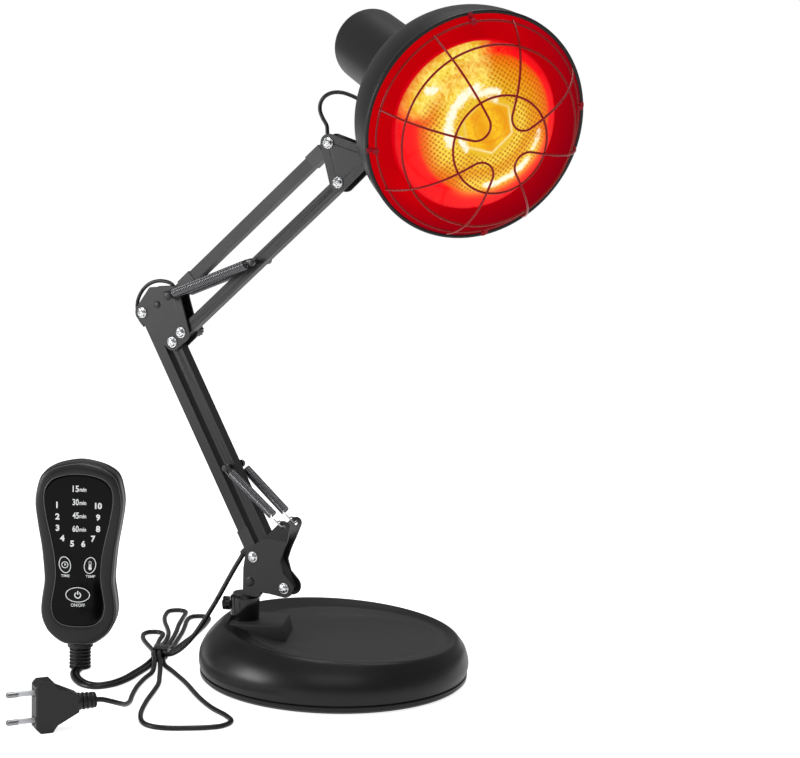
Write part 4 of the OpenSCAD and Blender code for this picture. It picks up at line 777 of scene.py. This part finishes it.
def spring(name, a, b, ea, pa, eb, turns, la, mats):
    x = (b - a).normalized()
    z = Vector((0, 0, 1))
    z = (z - x * z.dot(x)).normalized()
    y = z.cross(x)
    line = [a + q.x * x + q.y * y + q.z * z
            for q in spring_line((b - a).length, ea, pa, eb, la, turns, (SPRING_D - WIRE_D) / 2)]
    line = [ARM @ p for p in line]
    v, f = tube(line, WIRE_D / 2, 8)
    ends = 10 * 8
    slots = [1 if len(mats) > 1 and i < ends else 0 for i in range(len(f))]
    return make(name, v, f, mats, slots=slots), ARM @ a, ARM @ b


HOOK, TAB_Z, FLARE, HOOK_R = (27.2, 26.7), 15, 14, 3
lower_pin = FRONT_ROOT + along(LEAN, 98)
upper_pin = LOW_ROOT + along(RISE, 84.4)
rise_h = TAB_Z + (HOOK[1] - TAB_Z) * math.cos(math.radians(FLARE))
out_h = (PLATE_IN + PLATE_OUT) / 2 + (HOOK[1] - TAB_Z) * math.sin(math.radians(FLARE))
eye = PIN_D / 2 + WIRE_D / 2 + 0.3
for s, word in ((1, "near"), (-1, "far")):
    top = Vector((lower_pin.x, lower_pin.y, s * 10.4))
    hole = LOWER_ROOT + Vector((HOOK[0], rise_h, s * out_h))
    start = hole + HOOK_R * (top - hole).normalized()
    ob, a, b = spring("lower_spring_%s_wire" % word, start, top, HOOK_R, 90, eye, 40, 9,
                      [MAT["spring_steel"], MAT["hook_steel"]])
    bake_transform(ob)
    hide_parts("lower_spring_" + word)
    a = Vector((TOP_ROOT.x, TOP_ROOT.y, s * 11))
    b = Vector((upper_pin.x, upper_pin.y, s * 11))
    ob, a, b = spring("upper_spring_%s_wire" % word, a, b, 4 / 2 + WIRE_D / 2 + 0.3, 0, eye, 46,
                      5.5, [MAT["spring_steel"]])
    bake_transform(ob)
    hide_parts("upper_spring_" + word)

# ---- Head ----
def shade_r(a):
    return 31 + (SHADE_D / 2 - 1 - 31) * math.cos(a) ** 0.8 if a < math.pi / 2 - 1e-6 else 31


def shade_z(a):
    return -4 - (SHADE_DEPTH - 4) * math.sin(a)


steps = [math.radians(90 * (k / 40) ** 1.1) for k in range(41)]
outer = [(shade_r(a), shade_z(a)) for a in steps]
inner = [(shade_r(a) - WALL, shade_z(a) + WALL * math.sin(a)) for a in reversed(steps)]
lip = [(SHADE_D / 2 - 1.4 + 1.4 * math.cos(math.radians(a)), 1.4 * math.sin(math.radians(a)))
       for a in range(240, -75, -15)]
profile = lip + outer + [(19.5, -SHADE_DEPTH), (19.5, -SHADE_DEPTH + WALL)] + inner
n = 160
v, f = lathe(profile, n)
inside = len(lip) + len(outer) + 1
# The inside of the shade and the inner part of its lip take the red lining with its painted glow
slots = []
for i in range(len(profile)):
    slots += [1 if i >= inside or i < 6 else 0] * n
shade = make("shade_skin", v, f, [MAT["shade_black"], MAT["shade_lining_painted_glow"]], at=HEAD,
             slots=slots, local=True)
piece(shade, "head", "shade_black", "shade")

arc = [math.radians(7.5 * k) for k in range(13)]
cup_back = SHADE_DEPTH + CUP_LEN
profile = ([(CUP_R - WALL, -SHADE_DEPTH - 0.05), (CUP_R, -SHADE_DEPTH - 0.05)]
           + [(CUP_R, -SHADE_DEPTH - 0.05 - (cup_back - CUP_ROUND - SHADE_DEPTH) * k / 6)
              for k in range(1, 6)]
           + [(CUP_R - CUP_ROUND + CUP_ROUND * math.cos(a), -cup_back + CUP_ROUND
               - CUP_ROUND * math.sin(a)) for a in arc]
           + [(9, -cup_back), (8.2, -cup_back - 0.25), (7.4, -cup_back), (0.01, -cup_back),
              (0.01, -cup_back + WALL)]
           + [(CUP_R - CUP_ROUND + (CUP_ROUND - WALL) * math.cos(a), -cup_back + CUP_ROUND
               - (CUP_ROUND - WALL) * math.sin(a)) for a in reversed(arc)])
v, f = lathe(profile, 128)
cup = make("cup_skin", v, f, [MAT["shade_black"]], at=HEAD, local=True)
piece(cup, "head", "shade_black", "cup")

# Bulb: front dome and bowl; the glow is worked out for each point of the face
dome_r = (BULB_R ** 2 + BULB_DOME ** 2) / (2 * BULB_DOME)


def dome_z(r):
    return BULB_DOME - dome_r + math.sqrt(dome_r ** 2 - r * r)


def bowl_r(t):
    return math.sqrt(max(0, (BULB_R ** 2 - NECK_R ** 2) * (BULB_DEPTH - t) / (BULB_DEPTH - 5)
                         + NECK_R ** 2))


n = 240
radii = [0.2 + (BULB_R - 1.2 - 0.2) * k / 70 for k in range(71)]
profile = [(r, dome_z(r)) for r in radii]
profile += [(BULB_R - 0.45, dome_z(BULB_R - 1.2) - 0.5), (BULB_R - 0.05, -1.2), (BULB_R, -2.5),
            (BULB_R, -5)]
profile += [(bowl_r(t), -t) for t in range(8, BULB_DEPTH + 1, 4)]
profile += [(NECK_R, -SHADE_DEPTH - 28.5)]
v, f = lathe(profile, n, closed=False)
bulb = make("bulb_skin", v, f, [MAT["ruby_glass"]], at=HEAD, local=True)


def step(x, a, b):
    t = min(1, max(0, (x - a) / (b - a)))
    return t * t * (3 - 2 * t)


def blob(dx, dy, rx, ry, tilt=0.0):
    c, s = math.cos(math.radians(tilt)), math.sin(math.radians(tilt))
    x, y = dx * c + dy * s, -dx * s + dy * c
    return math.exp(-((x / rx) ** 2 + (y / ry) ** 2))


def arc_band(x, y, radius, width, centre, reach):
    """A band of the ring of that radius, about the direction centre, in degrees."""
    r = math.hypot(x, y)
    a = math.degrees(math.atan2(y, x)) - centre
    a = (a + 180) % 360 - 180
    return math.exp(-((r - radius) / width) ** 2) * (1 - step(abs(a), reach * 0.6, reach))


def mixed(a, b, t):
    return [p + (q - p) * t for p, q in zip(a, b)]


RED, DEEP = (1.0, 0.002, 0.006), (0.66, 0.0, 0.006)
ORANGE, AMBER = (0.9, 0.16, 0.0), (0.82, 0.32, 0.002)
GOLD, YELLOW = (0.8, 0.52, 0.015), (1.0, 0.86, 0.09)


def glow_at(x, y):
    """Colour, then the shares of dimples, streaks, folds and white heat, at a point of the face
    seen from the front: x to the right and y up, in millimetres."""
    u, w = x - 4, y - 3
    r = math.hypot(u, w)
    angle = math.degrees(math.atan2(w, u)) % 360
    colour = mixed(RED, DEEP, step(math.hypot(x, y), 54, 60))
    colour = mixed(colour, ORANGE, 1 - step(r, 45, 49.5))
    colour = mixed(colour, AMBER, 1 - step(r, 38, 46))
    colour = mixed(colour, GOLD, 1 - step(r, 24, 40))
    # Red comes in from the lower left; gold spreads past the dimples at the upper left
    colour = mixed(colour, RED, 0.75 * blob(u + 45, w + 8, 12, 22, 20))
    smear = arc_band(u, w, 52, 7.5, 137, 46)
    colour = mixed(colour, GOLD, min(1, 1.15 * smear))
    hot = max(
        arc_band(u, w, 28, 5, 160, 70), arc_band(u, w, 24, 3.6, 100, 34),
        0.95 * blob(u + 43, w - 22, 8, 4, 20), 0.9 * arc_band(u, w, 21, 3, 218, 26),
        arc_band(u, w, 43.5, 3.6, 303, 34), 0.9 * blob(u - 1, w - 19, 7, 3, -25),
        0.8 * arc_band(u, w, 42, 3.2, 346, 15))
    bright = max(arc_band(u, w, 30, 8, 165, 95), arc_band(u, w, 42, 6, 302, 58),
                 arc_band(u, w, 34, 8, 205, 30), 0.8 * arc_band(u, w, 25, 4, 330, 90),
                 0.8 * arc_band(u, w, 47, 5, 150, 30))
    colour = mixed(colour, YELLOW, 0.85 * bright)
    # Cap of the filament behind the centre, with a faint polygon round it
    flat = 17.5 / math.cos(math.radians((angle + 12) % 60 - 30)) * 0.93
    inside = 1 - step(r, flat - 1.2, flat)
    middle = mixed((0.82, 0.36, 0.0), (0.95, 0.58, 0.01), 0.5 + 0.5 * math.sin(0.3 * u + 0.2 * w))
    colour = mixed(colour, middle, 0.9 * inside)
    edge = math.exp(-((r - flat - 0.4) / 0.7) ** 2)
    colour = mixed(colour, (1.0, 0.93, 0.5), 0.8 * edge * (0.3 + 0.7 * step(u - w, -8, 14)))
    small = math.exp(-((math.hypot(u - 1, w - 1) - 11.5) / 0.8) ** 2)
    colour = mixed(colour, (0.75, 0.2, 0.0), 0.4 * small)
    dim = (1 - step(r, 46.5, 49.5)) * step(r, 19, 23) * (1 - 0.85 * hot)
    dim *= 1 - 0.8 * arc_band(u, w, 36, 13, 128, 36)
    streaks = min(1, 0.9 * smear + 0.75 * arc_band(u, w, 38, 9, 128, 40))
    folds = max(0.9 * inside, smear, arc_band(u, w, 34, 14, 130, 60), 0.25 * (1 - step(r, 46, 49)))
    return colour, (dim, streaks, folds, hot)


glow = bulb.data.attributes.new("glow", 'FLOAT_COLOR', 'POINT')
dimples = bulb.data.attributes.new("dimple", 'FLOAT_COLOR', 'POINT')
for i, (down, x, z) in enumerate(v):
    # In the head's frame x points down and y to the right
    y = -down
    colour, shares = glow_at(x, y)
    if z < -1:
        t = step(-z, 1, 10)
        colour = mixed(DEEP, (0.3, 0.0, 0.003), t)
        shares = (0.0, 0.0, 0.0, 0.0)
    glow.data[i].color = (*colour, 1)
    dimples.data[i].color = shares
piece(bulb, "head", "ruby_glass", "bulb_glass")

# Guard: hairpins over three rings
def guard_z(r):
    return GUARD_H * max(0, 1 - (r / (GUARD_D / 2 + 1.5)) ** 3.2) ** 0.75


def on_guard(x, y):
    return Vector((x, y, guard_z(math.hypot(x, y))))


spread = math.asin(LOOP_R / LOOP_AT)
touch = math.sqrt(LOOP_AT ** 2 - LOOP_R ** 2)
legs = [GUARD_D / 2 - (GUARD_D / 2 - touch) * (k / 40) ** 1.35 for k in range(41)]
hairpin = [on_guard(r * math.cos(spread), -r * math.sin(spread)) for r in legs]
for k in range(1, 28):
    a = math.radians(-90) - spread - k * (math.pi - 2 * spread) / 28
    hairpin.append(on_guard(LOOP_AT + LOOP_R * math.cos(a), LOOP_R * math.sin(a)))
hairpin += [on_guard(r * math.cos(spread), r * math.sin(spread)) for r in reversed(legs)]
parts = []
for k in range(4):
    spin = turn('Z', HAIRPIN_TURN + 90 * k)
    parts.append(tube([spin @ p for p in hairpin], WIRE_SEEN / 2, 10))
for d in (GUARD_D, GUARD_MID, GUARD_IN):
    r = d / 2
    fall = math.atan2(guard_z(r - 0.5) - guard_z(r + 0.5), 1)
    ring_r = r - (GUARD_WIRE + 0.05) * math.sin(fall)
    ring_z = guard_z(r) - (GUARD_WIRE + 0.05) * math.cos(fall)
    ring = [Vector((ring_r * math.cos(math.tau * k / 160), ring_r * math.sin(math.tau * k / 160),
                    ring_z)) for k in range(160)]
    parts.append(tube(ring, WIRE_SEEN / 2, 10, loop=True, start=Vector((0, 0, 1))))
v, f = joined(*parts)
guard = make("guard_wires", v, f, [MAT["guard_wire"]], at=HEAD, local=True)
piece(guard, "head", "guard_wire", "guard")

# ---- Handset ----
BODY = [(0, 0), (0.004, 0.31), (0.033, 0.531), (0.075, 0.711), (0.134, 0.829), (0.192, 0.863),
        (0.259, 0.839), (0.342, 0.789), (0.409, 0.798), (0.534, 0.851), (0.66, 0.941), (0.776, 1),
        (0.868, 0.947), (0.926, 0.851), (0.96, 0.674), (0.985, 0.404), (1, 0)]
PANEL = [(0.108, 0), (0.11, 0.186), (0.121, 0.373), (0.149, 0.516), (0.189, 0.581),
         (0.234, 0.593), (0.288, 0.559), (0.346, 0.519), (0.405, 0.506), (0.492, 0.534),
         (0.587, 0.609), (0.69, 0.708), (0.792, 0.77), (0.858, 0.733), (0.905, 0.575),
         (0.929, 0.295), (0.935, 0)]
body_mid = RELIEF_H + HAND_H / 2


def outline(shares, fill=6):
    right = [Vector((q[1] * HAND_W / 2, RELIEF_H + q[0] * HAND_H, 0)) for q in shares]
    loop = right + [Vector((-p.x, p.y, 0)) for p in reversed(right[1:-1])]
    n = len(loop)
    out = []
    for i in range(n):
        a, b, c, d = loop[i - 1], loop[i], loop[(i + 1) % n], loop[(i + 2) % n]
        out += [hermite(a, b, c, d, k / fill) for k in range(fill)]
    return out


body_loop, panel_loop = outline(BODY), outline(PANEL)


def inset(loop, d, z):
    return [(p.x * (1 - 2 * d / HAND_W), body_mid + (p.y - body_mid) * (1 - 2 * d / HAND_H), z)
            for p in loop]


panel_z = FRONT - 1.1 - 0.1
front_rows = [inset(body_loop, 0, 0), inset(body_loop, 0, 2.5), inset(body_loop, 0, 5),
              inset(body_loop, 0, FRONT - 4.5), inset(body_loop, 0.1, FRONT - 3.6),
              inset(body_loop, 0.5, FRONT - 2.2), inset(body_loop, 1.0, FRONT - 1.4),
              inset(body_loop, 1.7, FRONT - 0.75), inset(body_loop, 2.6, FRONT - 0.25),
              inset(body_loop, 3.6, FRONT - 0.02)]
face_a, face_b = inset(body_loop, 3.6, FRONT), inset(panel_loop, -0.55, FRONT - 0.1)
for t in (0.25, 0.5, 0.75):
    front_rows.append([(a[0] + (b[0] - a[0]) * t, a[1] + (b[1] - a[1]) * t,
                        FRONT + 0.25 * math.sin(math.pi * t)) for a, b in zip(face_a, face_b)])
front_rows += [face_b, inset(panel_loop, -0.3, FRONT - 0.22), inset(panel_loop, -0.2, FRONT - 0.5),
               inset(panel_loop, -0.2, panel_z), inset(panel_loop, 2.4, panel_z),
               inset(panel_loop, 2.4, panel_z - 1.3), inset(body_loop, 5, panel_z - 1.3),
               inset(body_loop, 2, panel_z - 4.5), inset(body_loop, 2, 0)]
v, f = skin(front_rows, loop_rows=True)
front = make("handset_front_skin", v, f, [MAT["moulded_black"]], at=HAND)
piece(front, "root", "moulded_black", "handset_front")

back_rows = [inset(body_loop, 0, -0.05), inset(body_loop, 0, -BACK + 4.6),
             inset(body_loop, 0.1, -BACK + 3.4), inset(body_loop, 0.4, -BACK + 2.2),
             inset(body_loop, 1, -BACK + 1.1), inset(body_loop, 1.9, -BACK + 0.4),
             inset(body_loop, 3.6, -BACK), inset(body_loop, 9, -BACK - 0.02),
             inset(body_loop, 10, -BACK + 0.35), inset(body_loop, 24, -BACK + 0.35)]
v, f = skin(list(reversed(back_rows)))
rear = make("handset_back_skin", v, f, [MAT["moulded_black"]], at=HAND)
piece(rear, "root", "moulded_black", "handset_back")

panel_rows = [inset(panel_loop, 0.02, panel_z + 0.05), inset(panel_loop, 0.02, FRONT - 0.3),
              inset(panel_loop, 0.25, FRONT - 0.09), inset(panel_loop, 1.5, FRONT - 0.05),
              inset(panel_loop, 14, FRONT - 0.05)]
v, f = skin(panel_rows)
panel = make("handset_panel_skin", v, f, [MAT["panel_black"]], at=HAND)
piece(panel, "root", "gloss_black", "handset_panel")

# Fine raised lines round the body and round the panel, in a lighter grey that is a painted highlight
# along these edges
for name, loop, d, z in (("body", body_loop, 1.2, FRONT - 1.25), ("panel", panel_loop, -0.6, FRONT)):
    line = [Vector(p) for p in inset(loop, d, z)]
    v, f = tube(line, 0.32, 8, loop=True, start=Vector((0, 0, 1)))
    ob = make("handset_line_" + name, v, f, [MAT["edge_line_painted_highlight"]], at=HAND)
    piece(ob, "root", "moulded_black")

KEYS = {"time": (-9.5, HAND_H * 0.446, 9.7, 13.5, 12),
        "temp": (8.9, HAND_H * 0.446, 9.7, 13.5, -12),
        "power": (0, HAND_H * 0.283, 18.9, 12.3, 0)}


def oval(key, grow, z, n=72):
    x, y, w, h, tilt = KEYS[key]
    c, s = math.cos(math.radians(tilt)), math.sin(math.radians(tilt))
    out = []
    for k in range(n):
        a, b = (w / 2 + grow) * math.cos(math.tau * k / n), (h / 2 + grow) * math.sin(math.tau * k / n)
        out.append((x + a * c - b * s, RELIEF_H + y + a * s + b * c, z))
    return out


KEY_TOP = FRONT + 1.1
for key in KEYS:
    rows = [oval(key, -0.03, panel_z - 1.2), oval(key, -0.03, KEY_TOP - 0.55),
            oval(key, -0.12, KEY_TOP - 0.3), oval(key, -0.4, KEY_TOP - 0.1),
            oval(key, -1.0, KEY_TOP - 0.02), oval(key, -2.6, KEY_TOP), oval(key, -4.2, KEY_TOP)]
    v, f = skin(rows)
    ob = make(key + "_key_cap", v, f, [MAT["key_black"]], at=HAND)
    piece(ob, key + "_key", "key_black", key + "_button")
    rows = [oval(key, -0.45, KEY_TOP + 0.0), oval(key, -0.47, KEY_TOP + 0.04),
            oval(key, -1.02, KEY_TOP + 0.06), oval(key, -1.04, KEY_TOP + 0.0)]
    v, f = skin(rows, loop_rows=True)
    ob = make(key + "_key_ring", v, f, [MAT["print_white"]], at=HAND)
    piece(ob, key + "_key", "key_black")


def words(name, text, x, y, height, z, body, width=None, bold=0.0):
    """Plain lettering as a thin mesh; x and y are the middle of it in the handset's frame."""
    cu = bpy.data.curves.new(name, 'FONT')
    cu.body = text
    cu.size = 10
    cu.offset = bold
    cu.resolution_u = 4
    cu.extrude = 0.02
    ob = bpy.data.objects.new(name, cu)
    scene.collection.objects.link(ob)
    deps = bpy.context.evaluated_depsgraph_get()
    me = bpy.data.meshes.new_from_object(ob.evaluated_get(deps))
    bpy.data.objects.remove(ob)
    xs = [q.co.x for q in me.vertices]
    ys = [q.co.y for q in me.vertices]
    k = height / (max(ys) - min(ys))
    kx = width / (max(xs) - min(xs)) if width else k
    cx, cy = (max(xs) + min(xs)) / 2, (max(ys) + min(ys)) / 2
    for q in me.vertices:
        q.co = (HAND @ Vector(((q.co.x - cx) * kx + x, (q.co.y - cy) * k + y, q.co.z + z))) * MM
    me.materials.clear()
    me.materials.append(MAT["print_white"])
    out = bpy.data.objects.new(name, me)
    scene.collection.objects.link(out)
    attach(out, body)
    return out


PRINT_Z = FRONT - 0.02
for text, y in (("15", 137.7), ("30", 127.8), ("45", 117.9), ("60", 108)):
    words("minutes_" + text, text, -2.0, y, 4.7, PRINT_Z, "root", 4.6, 0.2)
    words("unit_" + text, "min", 3.2, y - 0.5, 2.9, PRINT_Z, "root", 4.9, 0.2)
for text, x, y in (("1", -15.7, 125.4), ("2", -15.3, 116.8), ("3", -15.2, 108.3),
                   ("4", -11.7, 100.8), ("5", -4.5, 96.8), ("6", 3.7, 96.8), ("7", 10.9, 100.8),
                   ("8", 14.4, 108.3), ("9", 14.4, 116.8), ("10", 14.6, 125.4)):
    words("level_" + text, text, x, y, 4.7, PRINT_Z, "root", None, 0.4)
for text, x, y, h, w in (("TIME", -9.4, 72.6, 1.9, 6.4), ("TEMP", 9, 72.6, 1.9, 6.9),
                         ("ON/OFF", 0, 50.7, 2.5, 10.4)):
    words("label_" + text.replace("/", "_"), text, x, y, h, PRINT_Z, "root", w, 0.08)


def stroke(points, width, z, closed=False):
    """A flat line of that width through points of the handset's frame."""
    p = [Vector((x, y, 0)) for x, y in points]
    n = len(p)
    left, right = [], []
    for i in range(n):
        a = p[i - 1] if closed or i else p[i]
        b = p[(i + 1) % n] if closed or i + 1 < n else p[i]
        t = (b - a).normalized()
        o = Vector((-t.y, t.x, 0)) * width / 2
        left.append(p[i] + o)
        right.append(p[i] - o)
    verts = [(q.x, q.y, z) for q in left + right]
    faces = []
    for i in range(n if closed else n - 1):
        j = (i + 1) % n
        faces.append((i, n + i, n + j, j))
    return verts, faces


def circle(x, y, r, a0=0, a1=360, n=40):
    m = n if a1 - a0 >= 360 else n + 1
    return [(x + r * math.cos(math.radians(a0 + (a1 - a0) * k / n)),
             y + r * math.sin(math.radians(a0 + (a1 - a0) * k / n))) for k in range(m)]


def disc(x, y, r, z, n=28):
    return [(a, b, z) for a, b in circle(x, y, r, n=n)], [tuple(range(n))]


z = KEY_TOP + 0.05
tx, ty = KEYS["time"][0], RELIEF_H + KEYS["time"][1]
v, f = joined(stroke(circle(tx, ty, 2.25), 0.55, z, True), stroke([(tx, ty + 1.4), (tx, ty)], 0.45, z),
              stroke([(tx - 0.1, ty), (tx + 1.1, ty)], 0.45, z), disc(tx, ty, 0.55, z))
piece(make("clock_icon", v, f, [MAT["print_white"]], at=HAND), "time_key", "key_black")
tx, ty = KEYS["temp"][0], RELIEF_H + KEYS["temp"][1]
v, f = joined(stroke(circle(tx, ty + 2.3, 0.75, 0, 180, 16), 0.35, z),
              stroke([(tx - 0.75, ty + 2.3), (tx - 0.75, ty - 1.2)], 0.35, z),
              stroke([(tx + 0.75, ty + 2.3), (tx + 0.75, ty - 1.2)], 0.35, z),
              disc(tx, ty - 2.2, 1.25, z), stroke([(tx, ty + 0.8), (tx, ty - 1.6)], 0.8, z))
piece(make("thermometer_icon", v, f, [MAT["print_white"]], at=HAND), "temp_key", "key_black")
tx, ty = KEYS["power"][0], RELIEF_H + KEYS["power"][1]
v, f = joined(stroke(circle(tx, ty - 0.3, 2.15, 120, 420, 36), 0.8, z),
              stroke([(tx, ty + 2.9), (tx, ty + 0.1)], 0.8, z))
piece(make("power_icon", v, f, [MAT["print_white"]], at=HAND), "power_key", "key_black")

# Ribbed strain relief, softened from its solid
relief = rounded_copy("handset_relief_soft", "handset_relief", 0.32, 2, [MAT["moulded_black"]])
piece(relief, "root", "moulded_black", "handset_relief")

# ---- Plug ----
plug = rounded_copy("plug_body_soft", "plug_body", 0.34, 3, [MAT["moulded_black"]])
piece(plug, "root", "moulded_black", "plug_body")

# ---- Tie round the hank ----
tie_rows = []
for y, grow in ((-4, 0.15), (-3.6, 0.75), (-2.6, 0.9), (-1.2, 0.78), (0, 0.9), (1.2, 0.78),
                (2.6, 0.9), (3.6, 0.75), (4, 0.15)):
    tie_rows.append((y, grow))
loop = []
for cx, a0 in ((3.7, -90), (-3.7, 90)):
    for k in range(19):
        a = math.radians(a0 + 10 * k)
        loop.append((cx + math.cos(a), math.sin(a)))
rows = []
for y, grow in tie_rows:
    ring = []
    for k in range(38):
        cx = 3.95 if k < 19 else -3.95
        a = math.radians((-90 if k < 19 else 90) + 10 * (k % 19))
        ring.append((TIE_AT[0] + cx + (1.8 + grow) * math.cos(a), TIE_AT[1] + y,
                     TIE_AT[2] + (3.85 + grow) * math.sin(a)))
    rows.append(ring)
inner_ring = []
for y in (4, -4):
    ring = []
    for k in range(38):
        cx = 3.95 if k < 19 else -3.95
        a = math.radians((-90 if k < 19 else 90) + 10 * (k % 19))
        ring.append((TIE_AT[0] + cx + 1.75 * math.cos(a), TIE_AT[1] + y,
                     TIE_AT[2] + 3.8 * math.sin(a)))
    rows.append(ring)
v, f = skin(rows, loop_rows=True)
tie = make("hank_tie", v, f, [MAT["sleeve_black"]])
piece(tie, "root", "sleeve_black", "cord_tie")

# ---- Cord lines handed to declare, which turns them to metres and keeps nothing ----
declare(mains_line,
        exit_at=1)
declare(lamp_line)
declare(stub_line, exit_at=1)
declare(elbow_line[:half + 1])
declare(elbow_line[half:], exit_at=1)
declare(head_line[:mid + 1])
declare(head_line[mid:], exit_at=1)

# ---- Floor, world and lights ----
me = bpy.data.meshes.new("floor")
me.from_pydata([(-6, -6, 0), (6, -6, 0), (6, 6, 0), (-6, 6, 0)], [], [(0, 1, 2, 3)])
floor = bpy.data.objects.new("floor", me)
scene.collection.objects.link(floor)
mat = bpy.data.materials.new("floor_white")
mat.use_nodes = True
tree = mat.node_tree
tree.nodes.clear()
out = tree.nodes.new('ShaderNodeOutputMaterial')
base = tree.nodes.new('ShaderNodeBsdfDiffuse')
base.inputs['Color'].default_value = (0.8, 0.8, 0.8, 1)
page = tree.nodes.new('ShaderNodeEmission')
page.inputs['Color'].default_value = (1, 1, 1, 1)
rays = tree.nodes.new('ShaderNodeLightPath')
add = tree.nodes.new('ShaderNodeMath')
add.operation = 'MAXIMUM'
more = tree.nodes.new('ShaderNodeMath')
more.operation = 'MAXIMUM'
scale = tree.nodes.new('ShaderNodeMath')
scale.operation = 'MULTIPLY'
scale.inputs[1].default_value = 0.8
mix = tree.nodes.new('ShaderNodeAddShader')
tree.links.new(rays.outputs['Is Camera Ray'], add.inputs[0])
tree.links.new(add.outputs[0], more.inputs[0])
tree.links.new(rays.outputs['Is Transmission Ray'], more.inputs[1])
tree.links.new(more.outputs[0], scale.inputs[0])
tree.links.new(scale.outputs[0], page.inputs['Strength'])
tree.links.new(base.outputs[0], mix.inputs[0])
tree.links.new(page.outputs[0], mix.inputs[1])
tree.links.new(mix.outputs[0], out.inputs['Surface'])
me.materials.append(mat)

world = bpy.data.worlds.new("world")
scene.world = world
world.use_nodes = True
tree = world.node_tree
tree.nodes.clear()
out = tree.nodes.new('ShaderNodeOutputWorld')
dim = tree.nodes.new('ShaderNodeBackground')
dim.inputs['Color'].default_value = (1, 1, 1, 1)
dim.inputs['Strength'].default_value = 0.26
page = tree.nodes.new('ShaderNodeBackground')
page.inputs['Color'].default_value = (1, 1, 1, 1)
page.inputs['Strength'].default_value = 1.0
rays = tree.nodes.new('ShaderNodeLightPath')
more = tree.nodes.new('ShaderNodeMath')
more.operation = 'MAXIMUM'
mix = tree.nodes.new('ShaderNodeMixShader')
tree.links.new(rays.outputs['Is Camera Ray'], more.inputs[0])
tree.links.new(rays.outputs['Is Transmission Ray'], more.inputs[1])
tree.links.new(more.outputs[0], mix.inputs[0])
tree.links.new(dim.outputs[0], mix.inputs[1])
tree.links.new(page.outputs[0], mix.inputs[2])
tree.links.new(mix.outputs[0], out.inputs['Surface'])


def softbox(name, at, aim_at, size, power):
    data = bpy.data.lights.new(name, 'AREA')
    data.shape = 'RECTANGLE'
    data.size, data.size_y = size
    data.energy = power
    ob = bpy.data.objects.new(name, data)
    scene.collection.objects.link(ob)
    ob.location = at
    ob.rotation_mode = 'QUATERNION'
    ob.rotation_quaternion = (Vector(aim_at) - Vector(at)).to_track_quat('-Z', 'Y')
    return ob


softbox("key_light", (-1.7, -0.75, 0.6), (0, 0, 0.15), (0.8, 0.8), 20)
softbox("front_light", (0.3, -2.2, 2.2), (0, 0, 0.2), (2.2, 1.6), 12)
softbox("top_light", (0.1, 0.3, 1.9), (0, 0, 0.1), (1.2, 1.2), 16)

scene.view_settings.view_transform = 'Standard'
